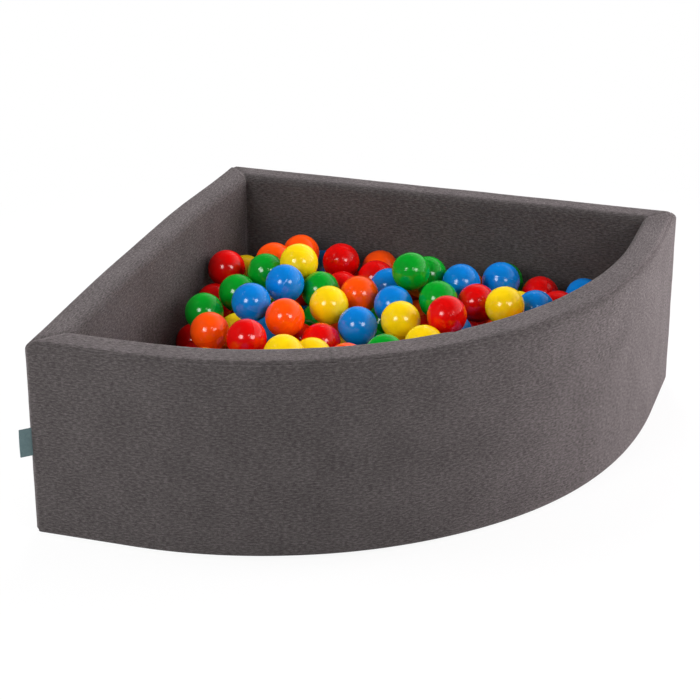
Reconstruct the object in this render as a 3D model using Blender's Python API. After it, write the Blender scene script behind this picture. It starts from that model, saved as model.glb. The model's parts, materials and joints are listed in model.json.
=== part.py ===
"""Corner ball pit: a foam ring in a sewn knit cover, with a padded floor and loose plastic balls.

The plan is a square corner with two straight walls and one bent wall across the front. The origin lies on
the floor at the middle of the square that the plan fits in. X runs to the right along the back wall, Y runs
from the bent wall to the back wall, and Z is up. All lengths are in metres.
"""

import math
import random

import bmesh
import bpy
import numpy as np
from mathutils import Vector
from mathutils.geometry import delaunay_2d_cdt

# Main sizes of the pit.
SIDE = 0.900
HEIGHT = 0.336
LEAD = 0.167
STRAIGHT_WALL = 0.056
ARC_WALL = 0.066
FLOOR_TOP = 0.042
RIM_RADIUS = 0.015
HEM_RADIUS = 0.008
CORNER_RADIUS = 0.012
INNER_CORNER_RADIUS = 0.004

# Cloth and the gaps between pieces that touch.
CLOTH = 0.0014
GAP = 0.0003

# Balls.
BALL_DIAMETER = 0.070
LAYER_PRESS = 0.008
LIFT_CLEARANCE = 0.001
WELL_CLEARANCE = 0.0035
SURFACE_TOLERANCE = 0.001
SINK_STEP = 0.0006

# Zip low on the outer face of the back wall.
ZIP_HEIGHT = 0.046
ZIP_END_MARGIN = 0.110
TAPE_WIDTH = 0.0130
TAPE_THICKNESS = 0.0008
CHAIN_WIDTH = 0.0040
CHAIN_PROUD = 0.0012
CHAIN_DEPTH = 0.0024
STOP_LENGTH = 0.0035
STOP_PROUD = 0.0018
SLIDER_LENGTH = 0.0130
SLIDER_WIDTH = 0.0100
SLIDER_NOSE_WIDTH = 0.0070
SLIDER_WALL = 0.0012
SLIDER_CLEARANCE = 0.0004
BRIDGE_LENGTH = 0.0080
BRIDGE_WIDTH = 0.0026
BRIDGE_WALL = 0.0011
PULLER_WIRE = 0.0012
PULLER_PLAY = 0.0004
PULLER_EYE_LENGTH = 0.0070
PULLER_LENGTH = 0.0280
PULLER_WIDTH = 0.0075
PULLER_TIP_RADIUS = 0.0025

# Folded ribbon label in the front left corner seam.
LABEL_HEIGHT = 0.048
LABEL_REACH = 0.026
LABEL_MIDDLE = 0.163
LABEL_PLY = 0.0005
LABEL_FOLD_GAP = 0.0005
LABEL_ROOT_GAP = 0.0008

# How finely round shapes are divided.
ARC_STEPS = 26
CORNER_STEPS = 3
RIM_STEPS = 4
LABEL_FOLD_STEPS = 4
BALL_DIVISION_STEPS = 2
SPREAD_STEPS = 600
SETTLE_STEPS = 420
PUSHES_PER_STEP = 3
WELL_RING_SHARES = ((1.0, 12), (0.87, 12), (0.50, 6), (0.0, 1))
CAP_RING_SHARES = ((0.0, 1), (0.55, 6), (0.92, 8))
HEXAGON_ROW_SHARE = math.sqrt(3.0) / 2

# How the bed's balls are shaken and let settle, each as a share.
BED_LAYERS = 3
BED_SEED = 11
START_PITCH_SHARE = 1.03
SHAKE_SHARE = 0.16
CLEAR_SHARE = 0.875
CORNER_SHARE = 0.26
EDGE_SHARE = 0.13
SINK_SHARE = 0.7
PUSH_SHARE = 0.55
SPACING_SHARE = 0.15
SEAT_SHARE = 0.6
OUTLINE_SHARE = 0.4

HALF_SIDE = SIDE / 2
ARC_RADIUS = SIDE - LEAD
ARC_CENTRE = Vector((LEAD - HALF_SIDE, HALF_SIDE - LEAD))
INNER_SPAN = SIDE - STRAIGHT_WALL - ARC_WALL
BALL_RADIUS = BALL_DIAMETER / 2
START_PITCH = BALL_DIAMETER * START_PITCH_SHARE
LAYER_PITCH = BALL_DIAMETER - LAYER_PRESS
FILL_HEIGHT = HEIGHT - FLOOR_TOP

# Places of the balls that lie free on top: shares of the inner span from the inner face of the left wall, of
# the inner span from the inner face of the back wall, and of the height from the floor cover to the rim.
FREE_BALL_PLACE_SHARES = {
    "red": ((0.055, 0.250, 0.617), (0.245, 0.633, 0.627), (0.290, 0.100, 0.588), (0.641, 0.435, 0.695)),
    "orange": ((0.135, 0.570, 0.566), (0.290, 0.508, 0.639), (0.371, 0.045, 0.512), (0.403, 0.318, 0.624)),
    "yellow": ((0.246, 0.281, 0.748), (0.345, 0.676, 0.613), (0.358, 0.403, 0.632), (0.534, 0.430, 0.621),
               (0.745, 0.325, 0.673), (0.614, 0.522, 0.595)),
    "green": ((0.091, 0.490, 0.590), (0.508, 0.257, 0.748), (0.590, 0.319, 0.654), (0.543, 0.580, 0.578)),
    "blue": ((0.245, 0.378, 0.708), (0.202, 0.484, 0.683), (0.442, 0.455, 0.582), (0.493, 0.348, 0.620),
             (0.613, 0.204, 0.653), (0.689, 0.129, 0.614), (0.878, 0.090, 0.529)),
}
# Places of the balls that lie among them and are held down, in the same shares.
HELD_BALL_PLACE_SHARES = {
    "red": ((0.374, 0.510, 0.513), (0.388, 0.135, 0.537), (0.668, 0.275, 0.614), (0.776, 0.098, 0.517)),
    "orange": ((0.151, 0.186, 0.634), (0.476, 0.642, 0.568)),
    "yellow": ((0.060, 0.136, 0.473), (0.161, 0.464, 0.457)),
    "green": ((0.122, 0.357, 0.585), (0.312, 0.324, 0.630)),
    "blue": ((0.799, 0.251, 0.590), (0.640, 0.374, 0.517)),
}
# Places of the half hidden balls that belong to the bed, in the same shares.
TUCKED_BALL_PLACE_SHARES = {
    "red": ((0.052, 0.322, 0.465),),
    "orange": ((0.191, 0.105, 0.621), (0.456, 0.045, 0.382), (0.727, 0.302, 0.446)),
    "yellow": ((0.384, 0.600, 0.522), (0.492, 0.104, 0.536), (0.745, 0.187, 0.500)),
    "green": ((0.163, 0.276, 0.653), (0.290, 0.262, 0.361), (0.450, 0.275, 0.416), (0.526, 0.177, 0.650),
              (0.678, 0.045, 0.525)),
    "blue": ((0.206, 0.388, 0.402), (0.227, 0.045, 0.467), (0.441, 0.207, 0.574)),
}

PLASTIC_COLOURS = {
    "red": (0.62, 0.010, 0.012, 1.0),
    "orange": (0.86, 0.120, 0.008, 1.0),
    "yellow": (0.88, 0.560, 0.010, 1.0),
    "green": (0.010, 0.300, 0.045, 1.0),
    "blue": (0.015, 0.170, 0.620, 1.0),
}


def material(name, colour, roughness, metallic=0.0):
    """Return the named Principled material, made on first use."""
    found = bpy.data.materials.get(name)
    if found is not None:
        return found
    made = bpy.data.materials.new(name)
    made.use_nodes = True
    shader = made.node_tree.nodes["Principled BSDF"]
    shader.inputs["Base Color"].default_value = colour
    shader.inputs["Roughness"].default_value = roughness
    shader.inputs["Metallic"].default_value = metallic
    made.diffuse_color = colour
    return made


def knit():
    return material("grey_knit", (0.082, 0.072, 0.070, 1.0), 0.92)


def sole_cloth():
    return material("dark_sole_cloth", (0.030, 0.030, 0.032, 1.0), 0.85)


def foam():
    return material("white_foam", (0.86, 0.85, 0.80, 1.0), 0.95)


def zip_fabric():
    return material("zip_fabric", (0.050, 0.047, 0.047, 1.0), 0.80)


def zip_metal():
    return material("zip_metal", (0.42, 0.42, 0.43, 1.0), 0.35, 1.0)


def ribbon():
    return material("teal_ribbon", (0.200, 0.280, 0.280, 1.0), 0.75)


def plastic(colour_name):
    return material(colour_name + "_plastic", PLASTIC_COLOURS[colour_name], 0.18)


def add_object(name, mesh, look, location=(0.0, 0.0, 0.0)):
    """Link a new object with one material and smooth shading up to 35 degrees."""
    mesh.materials.append(look)
    mesh.shade_smooth()
    mesh.set_sharp_from_angle(angle=math.radians(35.0))
    made = bpy.data.objects.new(name, mesh)
    made.location = location
    bpy.context.collection.objects.link(made)
    return made


def mesh_from(name, points, faces):
    """Build a mesh from points and faces, with every face turned outwards."""
    shape = bmesh.new()
    corners = [shape.verts.new(point) for point in points]
    for face in faces:
        shape.faces.new([corners[index] for index in face])
    bmesh.ops.recalc_face_normals(shape, faces=shape.faces[:])
    mesh = bpy.data.meshes.new(name)
    shape.to_mesh(mesh)
    shape.free()
    return mesh


def loft(name, rings):
    """Skin a row of rings that have the same number of points, and close both ends."""
    count = len(rings[0])
    points = [point for ring in rings for point in ring]
    faces = []
    for row in range(len(rings) - 1):
        for step in range(count):
            after = (step + 1) % count
            faces.append((row * count + step, row * count + after,
                          (row + 1) * count + after, (row + 1) * count + step))
    faces.append(tuple(range(count)))
    last = (len(rings) - 1) * count
    faces.append(tuple(last + step for step in reversed(range(count))))
    return mesh_from(name, points, faces)


def prism(name, outline, low, high):
    """Extrude a plan outline from one height to another."""
    return loft(name, [[(x, y, low) for x, y in outline], [(x, y, high) for x, y in outline]])


def box_mesh(name, low, high):
    """Return a box between two corners."""
    outline = [(low[0], low[1]), (high[0], low[1]), (high[0], high[1]), (low[0], high[1])]
    return prism(name, outline, low[2], high[2])


def combine(target, mesh, operation):
    """Cut a mesh from an object, or join it on, and leave no modifier behind."""
    tool = bpy.data.objects.new("tool", mesh)
    bpy.context.collection.objects.link(tool)
    change = target.modifiers.new(operation.lower(), "BOOLEAN")
    change.operation = operation
    change.solver = "EXACT"
    change.object = tool
    bake_modifiers(target)
    bpy.data.objects.remove(tool)


def bake_modifiers(target):
    """Replace the object's mesh by the one that its modifiers give."""
    graph = bpy.context.evaluated_depsgraph_get()
    graph.update()
    baked = bpy.data.meshes.new_from_object(target.evaluated_get(graph))
    target.modifiers.clear()
    target.data = baked


class Wall:
    """One wall of the ring, as a row of stations, each with an outer and an inner plan point."""

    def __init__(self, thickness, stations):
        self.thickness = thickness
        self.stations = stations

    def at(self, station, depth):
        """Plan point of a station at a depth measured from the wall's outer face."""
        outer, inner = station
        return outer.lerp(inner, depth / self.thickness)

    def sewn_stations(self):
        """The stations, with the two end ones drawn back by half the seam gap."""
        moved = list(self.stations)
        for end, beside in ((0, 1), (-1, -2)):
            outer, inner = moved[end]
            across = (inner - outer).normalized()
            along = moved[beside][0].lerp(moved[beside][1], 0.5) - outer.lerp(inner, 0.5)
            back = (along - across * along.dot(across)).normalized() * (GAP / 2)
            moved[end] = (outer + back, inner + back)
        return moved

    def sweep(self, name, profile):
        """Carry a closed profile of depths and heights along the wall."""
        rings = []
        for station in self.sewn_stations():
            rings.append([self.at(station, depth).to_3d() + Vector((0.0, 0.0, height))
                          for depth, height in profile])
        return loft(name, rings)


def direction(degrees):
    """Unit plan vector at an angle."""
    return Vector((math.cos(math.radians(degrees)), math.sin(math.radians(degrees))))


def corner_row(outer_corner, inner_corner, inward, start, end):
    """Stations round half a corner, between two angles in degrees."""
    outer_centre = outer_corner + inward * CORNER_RADIUS
    inner_centre = inner_corner + inward * INNER_CORNER_RADIUS
    row = []
    for step in range(CORNER_STEPS + 1):
        heading = direction(start + (end - start) * step / CORNER_STEPS)
        row.append((outer_centre + heading * CORNER_RADIUS, inner_centre + heading * INNER_CORNER_RADIUS))
    return row


def ring_walls():
    """The left, bent and back walls, in order round the pit from the back left corner."""
    far = HALF_SIDE
    back_left = (Vector((-far, far)), Vector((STRAIGHT_WALL - far, far - STRAIGHT_WALL)), Vector((1.0, -1.0)))
    front_left = (Vector((-far, -far)), Vector((STRAIGHT_WALL - far, ARC_WALL - far)), Vector((1.0, 1.0)))
    back_right = (Vector((far, far)), Vector((far - ARC_WALL, far - STRAIGHT_WALL)), Vector((-1.0, -1.0)))
    left = corner_row(*back_left, 135.0, 180.0) + corner_row(*front_left, 180.0, 225.0)
    bent = corner_row(*front_left, 225.0, 270.0)
    for step in range(ARC_STEPS + 1):
        heading = direction(270.0 + 90.0 * step / ARC_STEPS)
        bent.append((ARC_CENTRE + heading * ARC_RADIUS, ARC_CENTRE + heading * (ARC_RADIUS - ARC_WALL)))
    bent += corner_row(*back_right, 0.0, 45.0)
    back = corner_row(*back_right, 45.0, 90.0) + corner_row(*back_left, 90.0, 135.0)
    return Wall(STRAIGHT_WALL, left), Wall(ARC_WALL, bent), Wall(STRAIGHT_WALL, back)


def closed_outline(walls, depth_of):
    """One closed plan outline through all walls, at the depth that depth_of gives for each wall."""
    outline = []
    for wall in walls:
        outline += [wall.at(station, depth_of(wall)) for station in wall.stations[:-1]]
    return outline


def curve(centre, radius, start, end, steps):
    """Points of a round stretch in a profile, as pairs of depth and height."""
    row = []
    for step in range(steps + 1):
        heading = direction(start + (end - start) * step / steps)
        row.append((centre[0] + heading.x * radius, centre[1] + heading.y * radius))
    return row


def outer_panel_profile():
    """Cloth from the hem up the outer face to the seam half way round the rim's outer edge."""
    hem = (HEM_RADIUS, HEM_RADIUS)
    rim = (RIM_RADIUS, HEIGHT - RIM_RADIUS)
    outside = curve(hem, HEM_RADIUS, 240.0, 180.0, RIM_STEPS - 1) + curve(rim, RIM_RADIUS, 180.0, 135.0, 2)
    inside = curve(hem, HEM_RADIUS - CLOTH, 240.0, 180.0, RIM_STEPS - 1)
    inside += curve(rim, RIM_RADIUS - CLOTH, 180.0, 135.0, 2)
    return outside + inside[::-1]


def lining_profile(thickness):
    """Cloth from that seam over the rim and down the inner face to the floor cover."""
    outer_edge = (RIM_RADIUS, HEIGHT - RIM_RADIUS)
    inner_edge = (thickness - RIM_RADIUS, HEIGHT - RIM_RADIUS)
    seam_turn = math.degrees(GAP / RIM_RADIUS)
    foot = FLOOR_TOP - CLOTH
    outside = curve(outer_edge, RIM_RADIUS, 135.0 - seam_turn, 90.0, 2)
    outside += curve(inner_edge, RIM_RADIUS, 90.0, 0.0, RIM_STEPS) + [(thickness, foot)]
    inside = curve(outer_edge, RIM_RADIUS - CLOTH, 135.0 - seam_turn, 90.0, 2)
    inside += curve(inner_edge, RIM_RADIUS - CLOTH, 90.0, 0.0, RIM_STEPS) + [(thickness - CLOTH, foot)]
    return outside + inside[::-1]


def foam_profile(thickness):
    """The foam inside the cloth, with a rounded rim and a rounded outer hem."""
    skin = CLOTH + GAP
    outer_edge = (RIM_RADIUS, HEIGHT - RIM_RADIUS)
    inner_edge = (thickness - RIM_RADIUS, HEIGHT - RIM_RADIUS)
    hem = (HEM_RADIUS, HEM_RADIUS)
    points = curve(hem, HEM_RADIUS - skin, 270.0, 180.0, 2)
    points += curve(outer_edge, RIM_RADIUS - skin, 180.0, 90.0, RIM_STEPS)
    points += curve(inner_edge, RIM_RADIUS - skin, 90.0, 0.0, RIM_STEPS)
    points.append((thickness - skin, skin))
    return points


def make_walls(walls):
    """Foam slabs, outer panels and linings of the three walls."""
    for side, wall in zip(("left", "arc", "back"), walls):
        foam_name = "foam_wall_" + side
        panel_name = "outer_panel_" + side
        lining_name = "lining_" + side
        add_object(foam_name, wall.sweep(foam_name, foam_profile(wall.thickness)), foam())
        add_object(panel_name, wall.sweep(panel_name, outer_panel_profile()), knit())
        add_object(lining_name, wall.sweep(lining_name, lining_profile(wall.thickness)), knit())


def make_floor(walls):
    """Foam floor pad, the cloth over it and the sole cloth under everything."""
    pad_outline = closed_outline(walls, lambda wall: wall.thickness + GAP)
    sole_inset = HEM_RADIUS / 2 + CLOTH + GAP
    sole_outline = closed_outline(walls, lambda wall: sole_inset)
    cover_low = FLOOR_TOP - CLOTH
    add_object("foam_base", prism("foam_base", pad_outline, CLOTH + GAP, cover_low - GAP), foam())
    add_object("floor_cover", prism("floor_cover", pad_outline, cover_low, FLOOR_TOP), knit())
    add_object("underside_cloth", prism("underside_cloth", sole_outline, 0.0, CLOTH), sole_cloth())


def make_zip():
    """Zip in a slot of the back panel: two tapes, the closed chain, its stops, the slider and its puller."""
    face = HALF_SIDE
    start = ZIP_END_MARGIN - HALF_SIDE
    end = HALF_SIDE - ZIP_END_MARGIN
    chain_edge = CHAIN_WIDTH / 2
    tape_edge = chain_edge + GAP + TAPE_WIDTH
    slot_edge = tape_edge + GAP
    panel = bpy.data.objects["outer_panel_back"]
    slot = box_mesh("slot", (start - GAP, face - CLOTH * 2, ZIP_HEIGHT - slot_edge),
                    (end + GAP, face + CLOTH, ZIP_HEIGHT + slot_edge))
    combine(panel, slot, "DIFFERENCE")

    tape_back = face - CLOTH
    tape_front = tape_back + TAPE_THICKNESS
    for name, low, high in (("zip_tape_upper", chain_edge + GAP, tape_edge),
                            ("zip_tape_lower", -tape_edge, -chain_edge - GAP)):
        tape = box_mesh(name, (start, tape_back, ZIP_HEIGHT + low), (end, tape_front, ZIP_HEIGHT + high))
        add_object(name, tape, zip_fabric())

    chain_front = face + CHAIN_PROUD
    chain_back = chain_front - CHAIN_DEPTH
    first = start + STOP_LENGTH + GAP
    last = end - STOP_LENGTH - GAP
    slope = CHAIN_PROUD / 2
    section = [(-chain_edge, chain_back), (-chain_edge, chain_front - slope), (slope - chain_edge, chain_front),
               (chain_edge - slope, chain_front), (chain_edge, chain_front - slope), (chain_edge, chain_back)]
    rings = [[(x, y, ZIP_HEIGHT + z) for z, y in section] for x in (first, last)]
    add_object("zip_chain", loft("zip_chain", rings), zip_fabric())
    for name, low in (("zip_stop_left", start), ("zip_stop_right", end - STOP_LENGTH)):
        stop = box_mesh(name, (low, chain_back, ZIP_HEIGHT - chain_edge),
                        (low + STOP_LENGTH, face + STOP_PROUD, ZIP_HEIGHT + chain_edge))
        add_object(name, stop, zip_metal())
    make_slider(last - SLIDER_LENGTH / 2)


def make_slider(middle):
    """Slider on the chain, with a bridge that holds the puller's cross wire."""
    face = HALF_SIDE
    foot = face + GAP
    channel_top = face + CHAIN_PROUD + SLIDER_CLEARANCE
    top = channel_top + SLIDER_WALL
    half = SLIDER_LENGTH / 2
    wide = SLIDER_WIDTH / 2
    nose = SLIDER_NOSE_WIDTH / 2
    waist = half / 3
    plan = [(-half, -nose), (-waist, -nose), (waist, -wide), (half, -wide),
            (half, wide), (waist, wide), (-waist, nose), (-half, nose)]
    rings = [[(middle + x, y, ZIP_HEIGHT + z) for x, z in plan] for y in (foot, top)]
    slider = add_object("zip_slider", loft("zip_slider", rings), zip_metal())
    channel = CHAIN_WIDTH / 2 + SLIDER_CLEARANCE
    groove = box_mesh("groove", (middle - SLIDER_LENGTH, face - CLOTH, ZIP_HEIGHT - channel),
                      (middle + SLIDER_LENGTH, channel_top, ZIP_HEIGHT + channel))
    combine(slider, groove, "DIFFERENCE")

    wire_room = PULLER_WIRE + 2 * PULLER_PLAY
    bridge_top = top + wire_room + BRIDGE_WALL
    bridge = box_mesh("bridge", (middle - BRIDGE_LENGTH / 2, top - SLIDER_WALL / 2, ZIP_HEIGHT - BRIDGE_WIDTH / 2),
                      (middle + BRIDGE_LENGTH / 2, bridge_top, ZIP_HEIGHT + BRIDGE_WIDTH / 2))
    combine(slider, bridge, "UNION")
    window = box_mesh("window", (middle - BRIDGE_LENGTH / 2 + BRIDGE_WALL, top, ZIP_HEIGHT - BRIDGE_WIDTH),
                      (middle + BRIDGE_LENGTH / 2 - BRIDGE_WALL, top + wire_room, ZIP_HEIGHT + BRIDGE_WIDTH))
    combine(slider, window, "DIFFERENCE")
    make_puller(middle, top + wire_room / 2)


def make_puller(pivot_x, pivot_y):
    """Flat puller with an eye round the bridge, lying along the zip towards its start."""
    half_wire = PULLER_WIRE / 2
    eye_half = BRIDGE_WIDTH / 2 + PULLER_PLAY
    wide = PULLER_WIDTH / 2
    tip = PULLER_LENGTH
    neck = PULLER_EYE_LENGTH
    outline = [(half_wire, -wide), (-tip + PULLER_TIP_RADIUS, -wide), (-tip, -wide + PULLER_TIP_RADIUS),
               (-tip, wide - PULLER_TIP_RADIUS), (-tip + PULLER_TIP_RADIUS, wide), (half_wire, wide)]
    rings = [[(x, y, z) for x, z in outline] for y in (-half_wire, half_wire)]
    pivot = (pivot_x, pivot_y, ZIP_HEIGHT)
    puller = add_object("zip_puller", loft("zip_puller", rings), zip_metal(), pivot)
    eye = box_mesh("eye", (pivot_x - neck, pivot_y - PULLER_WIRE, ZIP_HEIGHT - eye_half),
                   (pivot_x - half_wire, pivot_y + PULLER_WIRE, ZIP_HEIGHT + eye_half))
    combine(puller, eye, "DIFFERENCE")


def make_label():
    """Folded ribbon that stands out of the front left corner seam, hinged where it is sewn in."""
    corner = Vector((-HALF_SIDE, -HALF_SIDE))
    outward = Vector((-1.0, -1.0)).normalized()
    sideways = Vector((outward.y, -outward.x))
    root = corner + Vector((1.0, 1.0)) * CORNER_RADIUS + outward * (CORNER_RADIUS + LABEL_ROOT_GAP)
    inner_half = LABEL_FOLD_GAP / 2
    outer_half = inner_half + LABEL_PLY
    bend = LABEL_REACH - outer_half
    outline = [(0.0, outer_half)]
    outline += [(bend + math.sin(turn) * outer_half, math.cos(turn) * outer_half) for turn in fold_turns()]
    outline += [(0.0, -outer_half), (0.0, -inner_half)]
    outline += [(bend + math.sin(turn) * inner_half, math.cos(turn) * inner_half) for turn in fold_turns()[::-1]]
    outline.append((0.0, inner_half))
    plan = [outward * reach + sideways * offset for reach, offset in outline]
    low = LABEL_MIDDLE - LABEL_HEIGHT / 2
    mesh = prism("side_label", [(point.x, point.y) for point in plan], 0.0, LABEL_HEIGHT)
    add_object("side_label", mesh, ribbon(), (root.x, root.y, low))


def fold_turns():
    """Angles round the label's fold, in radians."""
    return [math.pi * step / LABEL_FOLD_STEPS for step in range(LABEL_FOLD_STEPS + 1)]


def kept_inside(centres, room):
    """Move rows of centres so that each keeps this room to the linings and the floor cover."""
    kept = centres.copy()
    kept[:, 0] = np.clip(kept[:, 0], STRAIGHT_WALL - HALF_SIDE + room, HALF_SIDE - ARC_WALL - room)
    kept[:, 1] = np.clip(kept[:, 1], ARC_WALL - HALF_SIDE + room, HALF_SIDE - STRAIGHT_WALL - room)
    kept[:, 2] = np.maximum(kept[:, 2], FLOOR_TOP + room)
    outward = kept[:, :2] - np.array(ARC_CENTRE)
    length = np.linalg.norm(outward, axis=1)
    reach = ARC_RADIUS - ARC_WALL - room
    beyond = (outward[:, 0] > 0.0) & (outward[:, 1] < 0.0) & (length > reach)
    kept[beyond, :2] = np.array(ARC_CENTRE) + outward[beyond] / length[beyond, None] * reach
    return kept


def listed_places(table):
    """Colours and centres of a table of shares."""
    colours = []
    centres = []
    for colour_name, places in table.items():
        for right_share, front_share, level_share in places:
            colours.append(colour_name)
            centres.append((STRAIGHT_WALL - HALF_SIDE + right_share * INNER_SPAN,
                            HALF_SIDE - STRAIGHT_WALL - front_share * INNER_SPAN,
                            FLOOR_TOP + level_share * FILL_HEIGHT))
    return colours, centres


def pushes(apart, room, movable):
    """How far each centre moves away from the ones that it is too close to."""
    distance = np.linalg.norm(apart, axis=2) + np.eye(len(apart))
    short = np.clip(room - distance, 0.0, None)
    np.fill_diagonal(short, 0.0)
    share = movable[:, None] / np.maximum(movable[:, None] + movable, 1.0)
    return (apart / distance[..., None] * (short * share)[..., None]).sum(axis=1)


def spread(centres, free_count):
    """Push the centres apart until no balls touch and the free ones can be lifted past the rest."""
    centres = np.array(centres)
    movable = np.ones(len(centres))
    is_free = np.arange(len(centres)) < free_count
    for _ in range(SPREAD_STEPS):
        apart = centres[:, None] - centres
        higher = centres[:, 2] > centres[:, None, 2]
        passing = is_free[:, None] & (is_free | higher)
        passing |= passing.T
        apart[passing, 2] = 0.0
        room = BALL_DIAMETER + np.where(passing, LIFT_CLEARANCE, GAP)
        centres = kept_inside(centres + pushes(apart, room, movable) * PUSH_SHARE, BALL_RADIUS + GAP)
    return centres


def shaken_rows(taken):
    """Starting centres of the bed's balls: shaken rows in layers, clear of the balls already placed."""
    draw = random.Random(BED_SEED)
    row_pitch = START_PITCH * HEXAGON_ROW_SHARE
    centres = []
    for layer in range(BED_LAYERS):
        height = FLOOR_TOP + GAP + BALL_RADIUS + layer * LAYER_PITCH
        for row in range(math.ceil(INNER_SPAN / row_pitch)):
            for column in range(math.ceil(INNER_SPAN / START_PITCH)):
                right = BALL_RADIUS + (column + (row + layer) % 2 / 2) * START_PITCH
                front = BALL_RADIUS + row * row_pitch
                right += draw.uniform(-SHAKE_SHARE, SHAKE_SHARE) * START_PITCH
                front += draw.uniform(-SHAKE_SHARE, SHAKE_SHARE) * START_PITCH
                place = (STRAIGHT_WALL - HALF_SIDE + right, HALF_SIDE - STRAIGHT_WALL - front, height)
                is_high = layer == BED_LAYERS - 1
                is_bare = right + front < CORNER_SHARE * INNER_SPAN or right < EDGE_SHARE * INNER_SPAN
                centre = kept_inside(np.array([place]), BALL_RADIUS + GAP)[0]
                is_outside = np.linalg.norm(centre - place) > BALL_RADIUS
                is_clear = np.linalg.norm(taken - centre, axis=1).min() > CLEAR_SHARE * BALL_DIAMETER
                if is_clear and not is_outside and not (is_high and is_bare):
                    centres.append(centre)
    return np.array(centres)


def settled(fixed, loose):
    """Let the loose balls sink and push each other apart round the fixed ones. Returns the loose centres."""
    count = len(fixed)
    centres = np.concatenate([fixed, loose])
    movable = np.ones(len(centres))
    movable[:count] = 0.0
    for step in range(SETTLE_STEPS):
        if step < SETTLE_STEPS * SINK_SHARE:
            centres[count:, 2] -= SINK_STEP
        for _ in range(PUSHES_PER_STEP):
            push = pushes(centres[:, None] - centres, BALL_DIAMETER, movable)
            centres[count:] = kept_inside(centres[count:] + push[count:] * PUSH_SHARE, BALL_RADIUS + GAP)
    return centres[count:]


def ring_places(centre, radius, rings):
    """Plan places on rings round a centre, each ring a share of the radius and a count."""
    places = []
    for share, count in rings:
        for step in range(count):
            places.append(centre[:2] + np.array(direction(360.0 * step / count)) * radius * share)
    return places


def bed_surface(place, bed, singles):
    """Height of the bed's top at a plan place: its balls, fitted to the undersides of the single ones."""
    across = np.linalg.norm(bed[:, :2] - place, axis=1)
    under = across < BALL_RADIUS
    heights = bed[under, 2] + np.sqrt(BALL_RADIUS ** 2 - across[under] ** 2)
    height = max(heights.max(initial=0.0), FLOOR_TOP + BALL_RADIUS)
    reach = BALL_RADIUS + WELL_CLEARANCE
    across = np.linalg.norm(singles[:, :2] - place, axis=1)
    over = across < reach + BALL_RADIUS * SPACING_SHARE
    undersides = singles[over, 2] - np.sqrt(np.clip(reach ** 2 - across[over] ** 2, 0.0, None))
    seats = undersides[across[over] < BALL_RADIUS * SEAT_SHARE]
    return min(max(height, seats.max(initial=0.0)), undersides.min(initial=HEIGHT))


def surface_places(outline, bed, singles):
    """Plan places that carry the bed's top: seats under the single balls and caps of its own balls."""
    places = list(outline)
    for centre in singles:
        hollow = ring_places(centre, BALL_RADIUS + WELL_CLEARANCE, WELL_RING_SHARES)
        places += [place for place in hollow if is_apart(place, places, SURFACE_TOLERANCE)]
    for centre in bed:
        for place in ring_places(centre, BALL_RADIUS, CAP_RING_SHARES):
            across = np.linalg.norm(centre[:2] - place)
            height = centre[2] + math.sqrt(BALL_RADIUS ** 2 - across ** 2)
            is_shown = abs(bed_surface(place, bed, singles) - height) < SURFACE_TOLERANCE
            if is_shown and is_apart(place, places, BALL_RADIUS * SPACING_SHARE):
                places.append(place)
    return places


def is_apart(place, places, spacing):
    """Whether a plan place lies inside the walls and keeps this spacing to all the others."""
    spot = np.array([[place[0], place[1], HEIGHT]])
    is_inside = np.linalg.norm(kept_inside(spot, BALL_RADIUS * SPACING_SHARE) - spot) < GAP
    return is_inside and np.linalg.norm(np.array(places) - place, axis=1).min() > spacing


def bed_outline(walls):
    """The bed's plan outline inside the linings, with no stretch longer than OUTLINE_SHARE of a ball's radius."""
    corners = closed_outline(walls, lambda wall: wall.thickness + GAP)
    outline = []
    for before, after in zip(corners, corners[1:] + corners[:1]):
        run = np.array(after) - np.array(before)
        steps = math.ceil(np.linalg.norm(run) / (BALL_RADIUS * OUTLINE_SHARE))
        outline += [np.array(before) + run * step / steps for step in range(steps)]
    return outline


def make_ball_bed(walls, singles, tucked):
    """The balls under and between the single ones as one body, whose top has the forms of the balls."""
    fixed = np.concatenate([singles, tucked])
    bed = np.concatenate([tucked, settled(fixed, shaken_rows(fixed))])
    outline = bed_outline(walls)
    places = [Vector(place) for place in surface_places(outline, bed, singles)]
    found = delaunay_2d_cdt(places, [], [list(range(len(outline)))], 1, GAP / 2)
    shape = bmesh.new()
    top = []
    for corner in found[0]:
        top.append(shape.verts.new((corner.x, corner.y, bed_surface(np.array(corner), bed, singles))))
    for face in found[2]:
        shape.faces.new([top[index] for index in face])
    low = FLOOR_TOP + GAP
    rim = [edge for edge in shape.edges if edge.is_boundary]
    foot = {}
    for edge in rim:
        for corner in edge.verts:
            if corner not in foot:
                foot[corner] = shape.verts.new((corner.co.x, corner.co.y, low))
    underside = []
    for edge in rim:
        first, second = edge.verts
        side = shape.faces.new((first, second, foot[second], foot[first]))
        underside += [other for other in side.edges if foot[first] in other.verts and foot[second] in other.verts]
    bmesh.ops.holes_fill(shape, edges=underside, sides=0)
    bmesh.ops.recalc_face_normals(shape, faces=shape.faces[:])
    mesh = bpy.data.meshes.new("ball_bed")
    shape.to_mesh(mesh)
    shape.free()
    add_object("ball_bed", mesh, plastic("blue"))


def make_balls(walls):
    """The balls that lie free on top, those held down among them, and the bed under them."""
    free_colours, free = listed_places(FREE_BALL_PLACE_SHARES)
    held_colours, held = listed_places(HELD_BALL_PLACE_SHARES)
    tucked = listed_places(TUCKED_BALL_PLACE_SHARES)[1]
    centres = spread(free + held + tucked, len(free))
    singles = centres[:len(free) + len(held)]
    counts = {}
    for index, colour_name in enumerate(free_colours + held_colours):
        kind = "free" if index < len(free) else "held"
        counts[kind, colour_name] = counts.get((kind, colour_name), 0) + 1
        name = "_".join((kind, "ball", colour_name, str(counts[kind, colour_name])))
        add_ball(name, colour_name, singles[index])
    make_ball_bed(walls, singles, centres[len(singles):])


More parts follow.
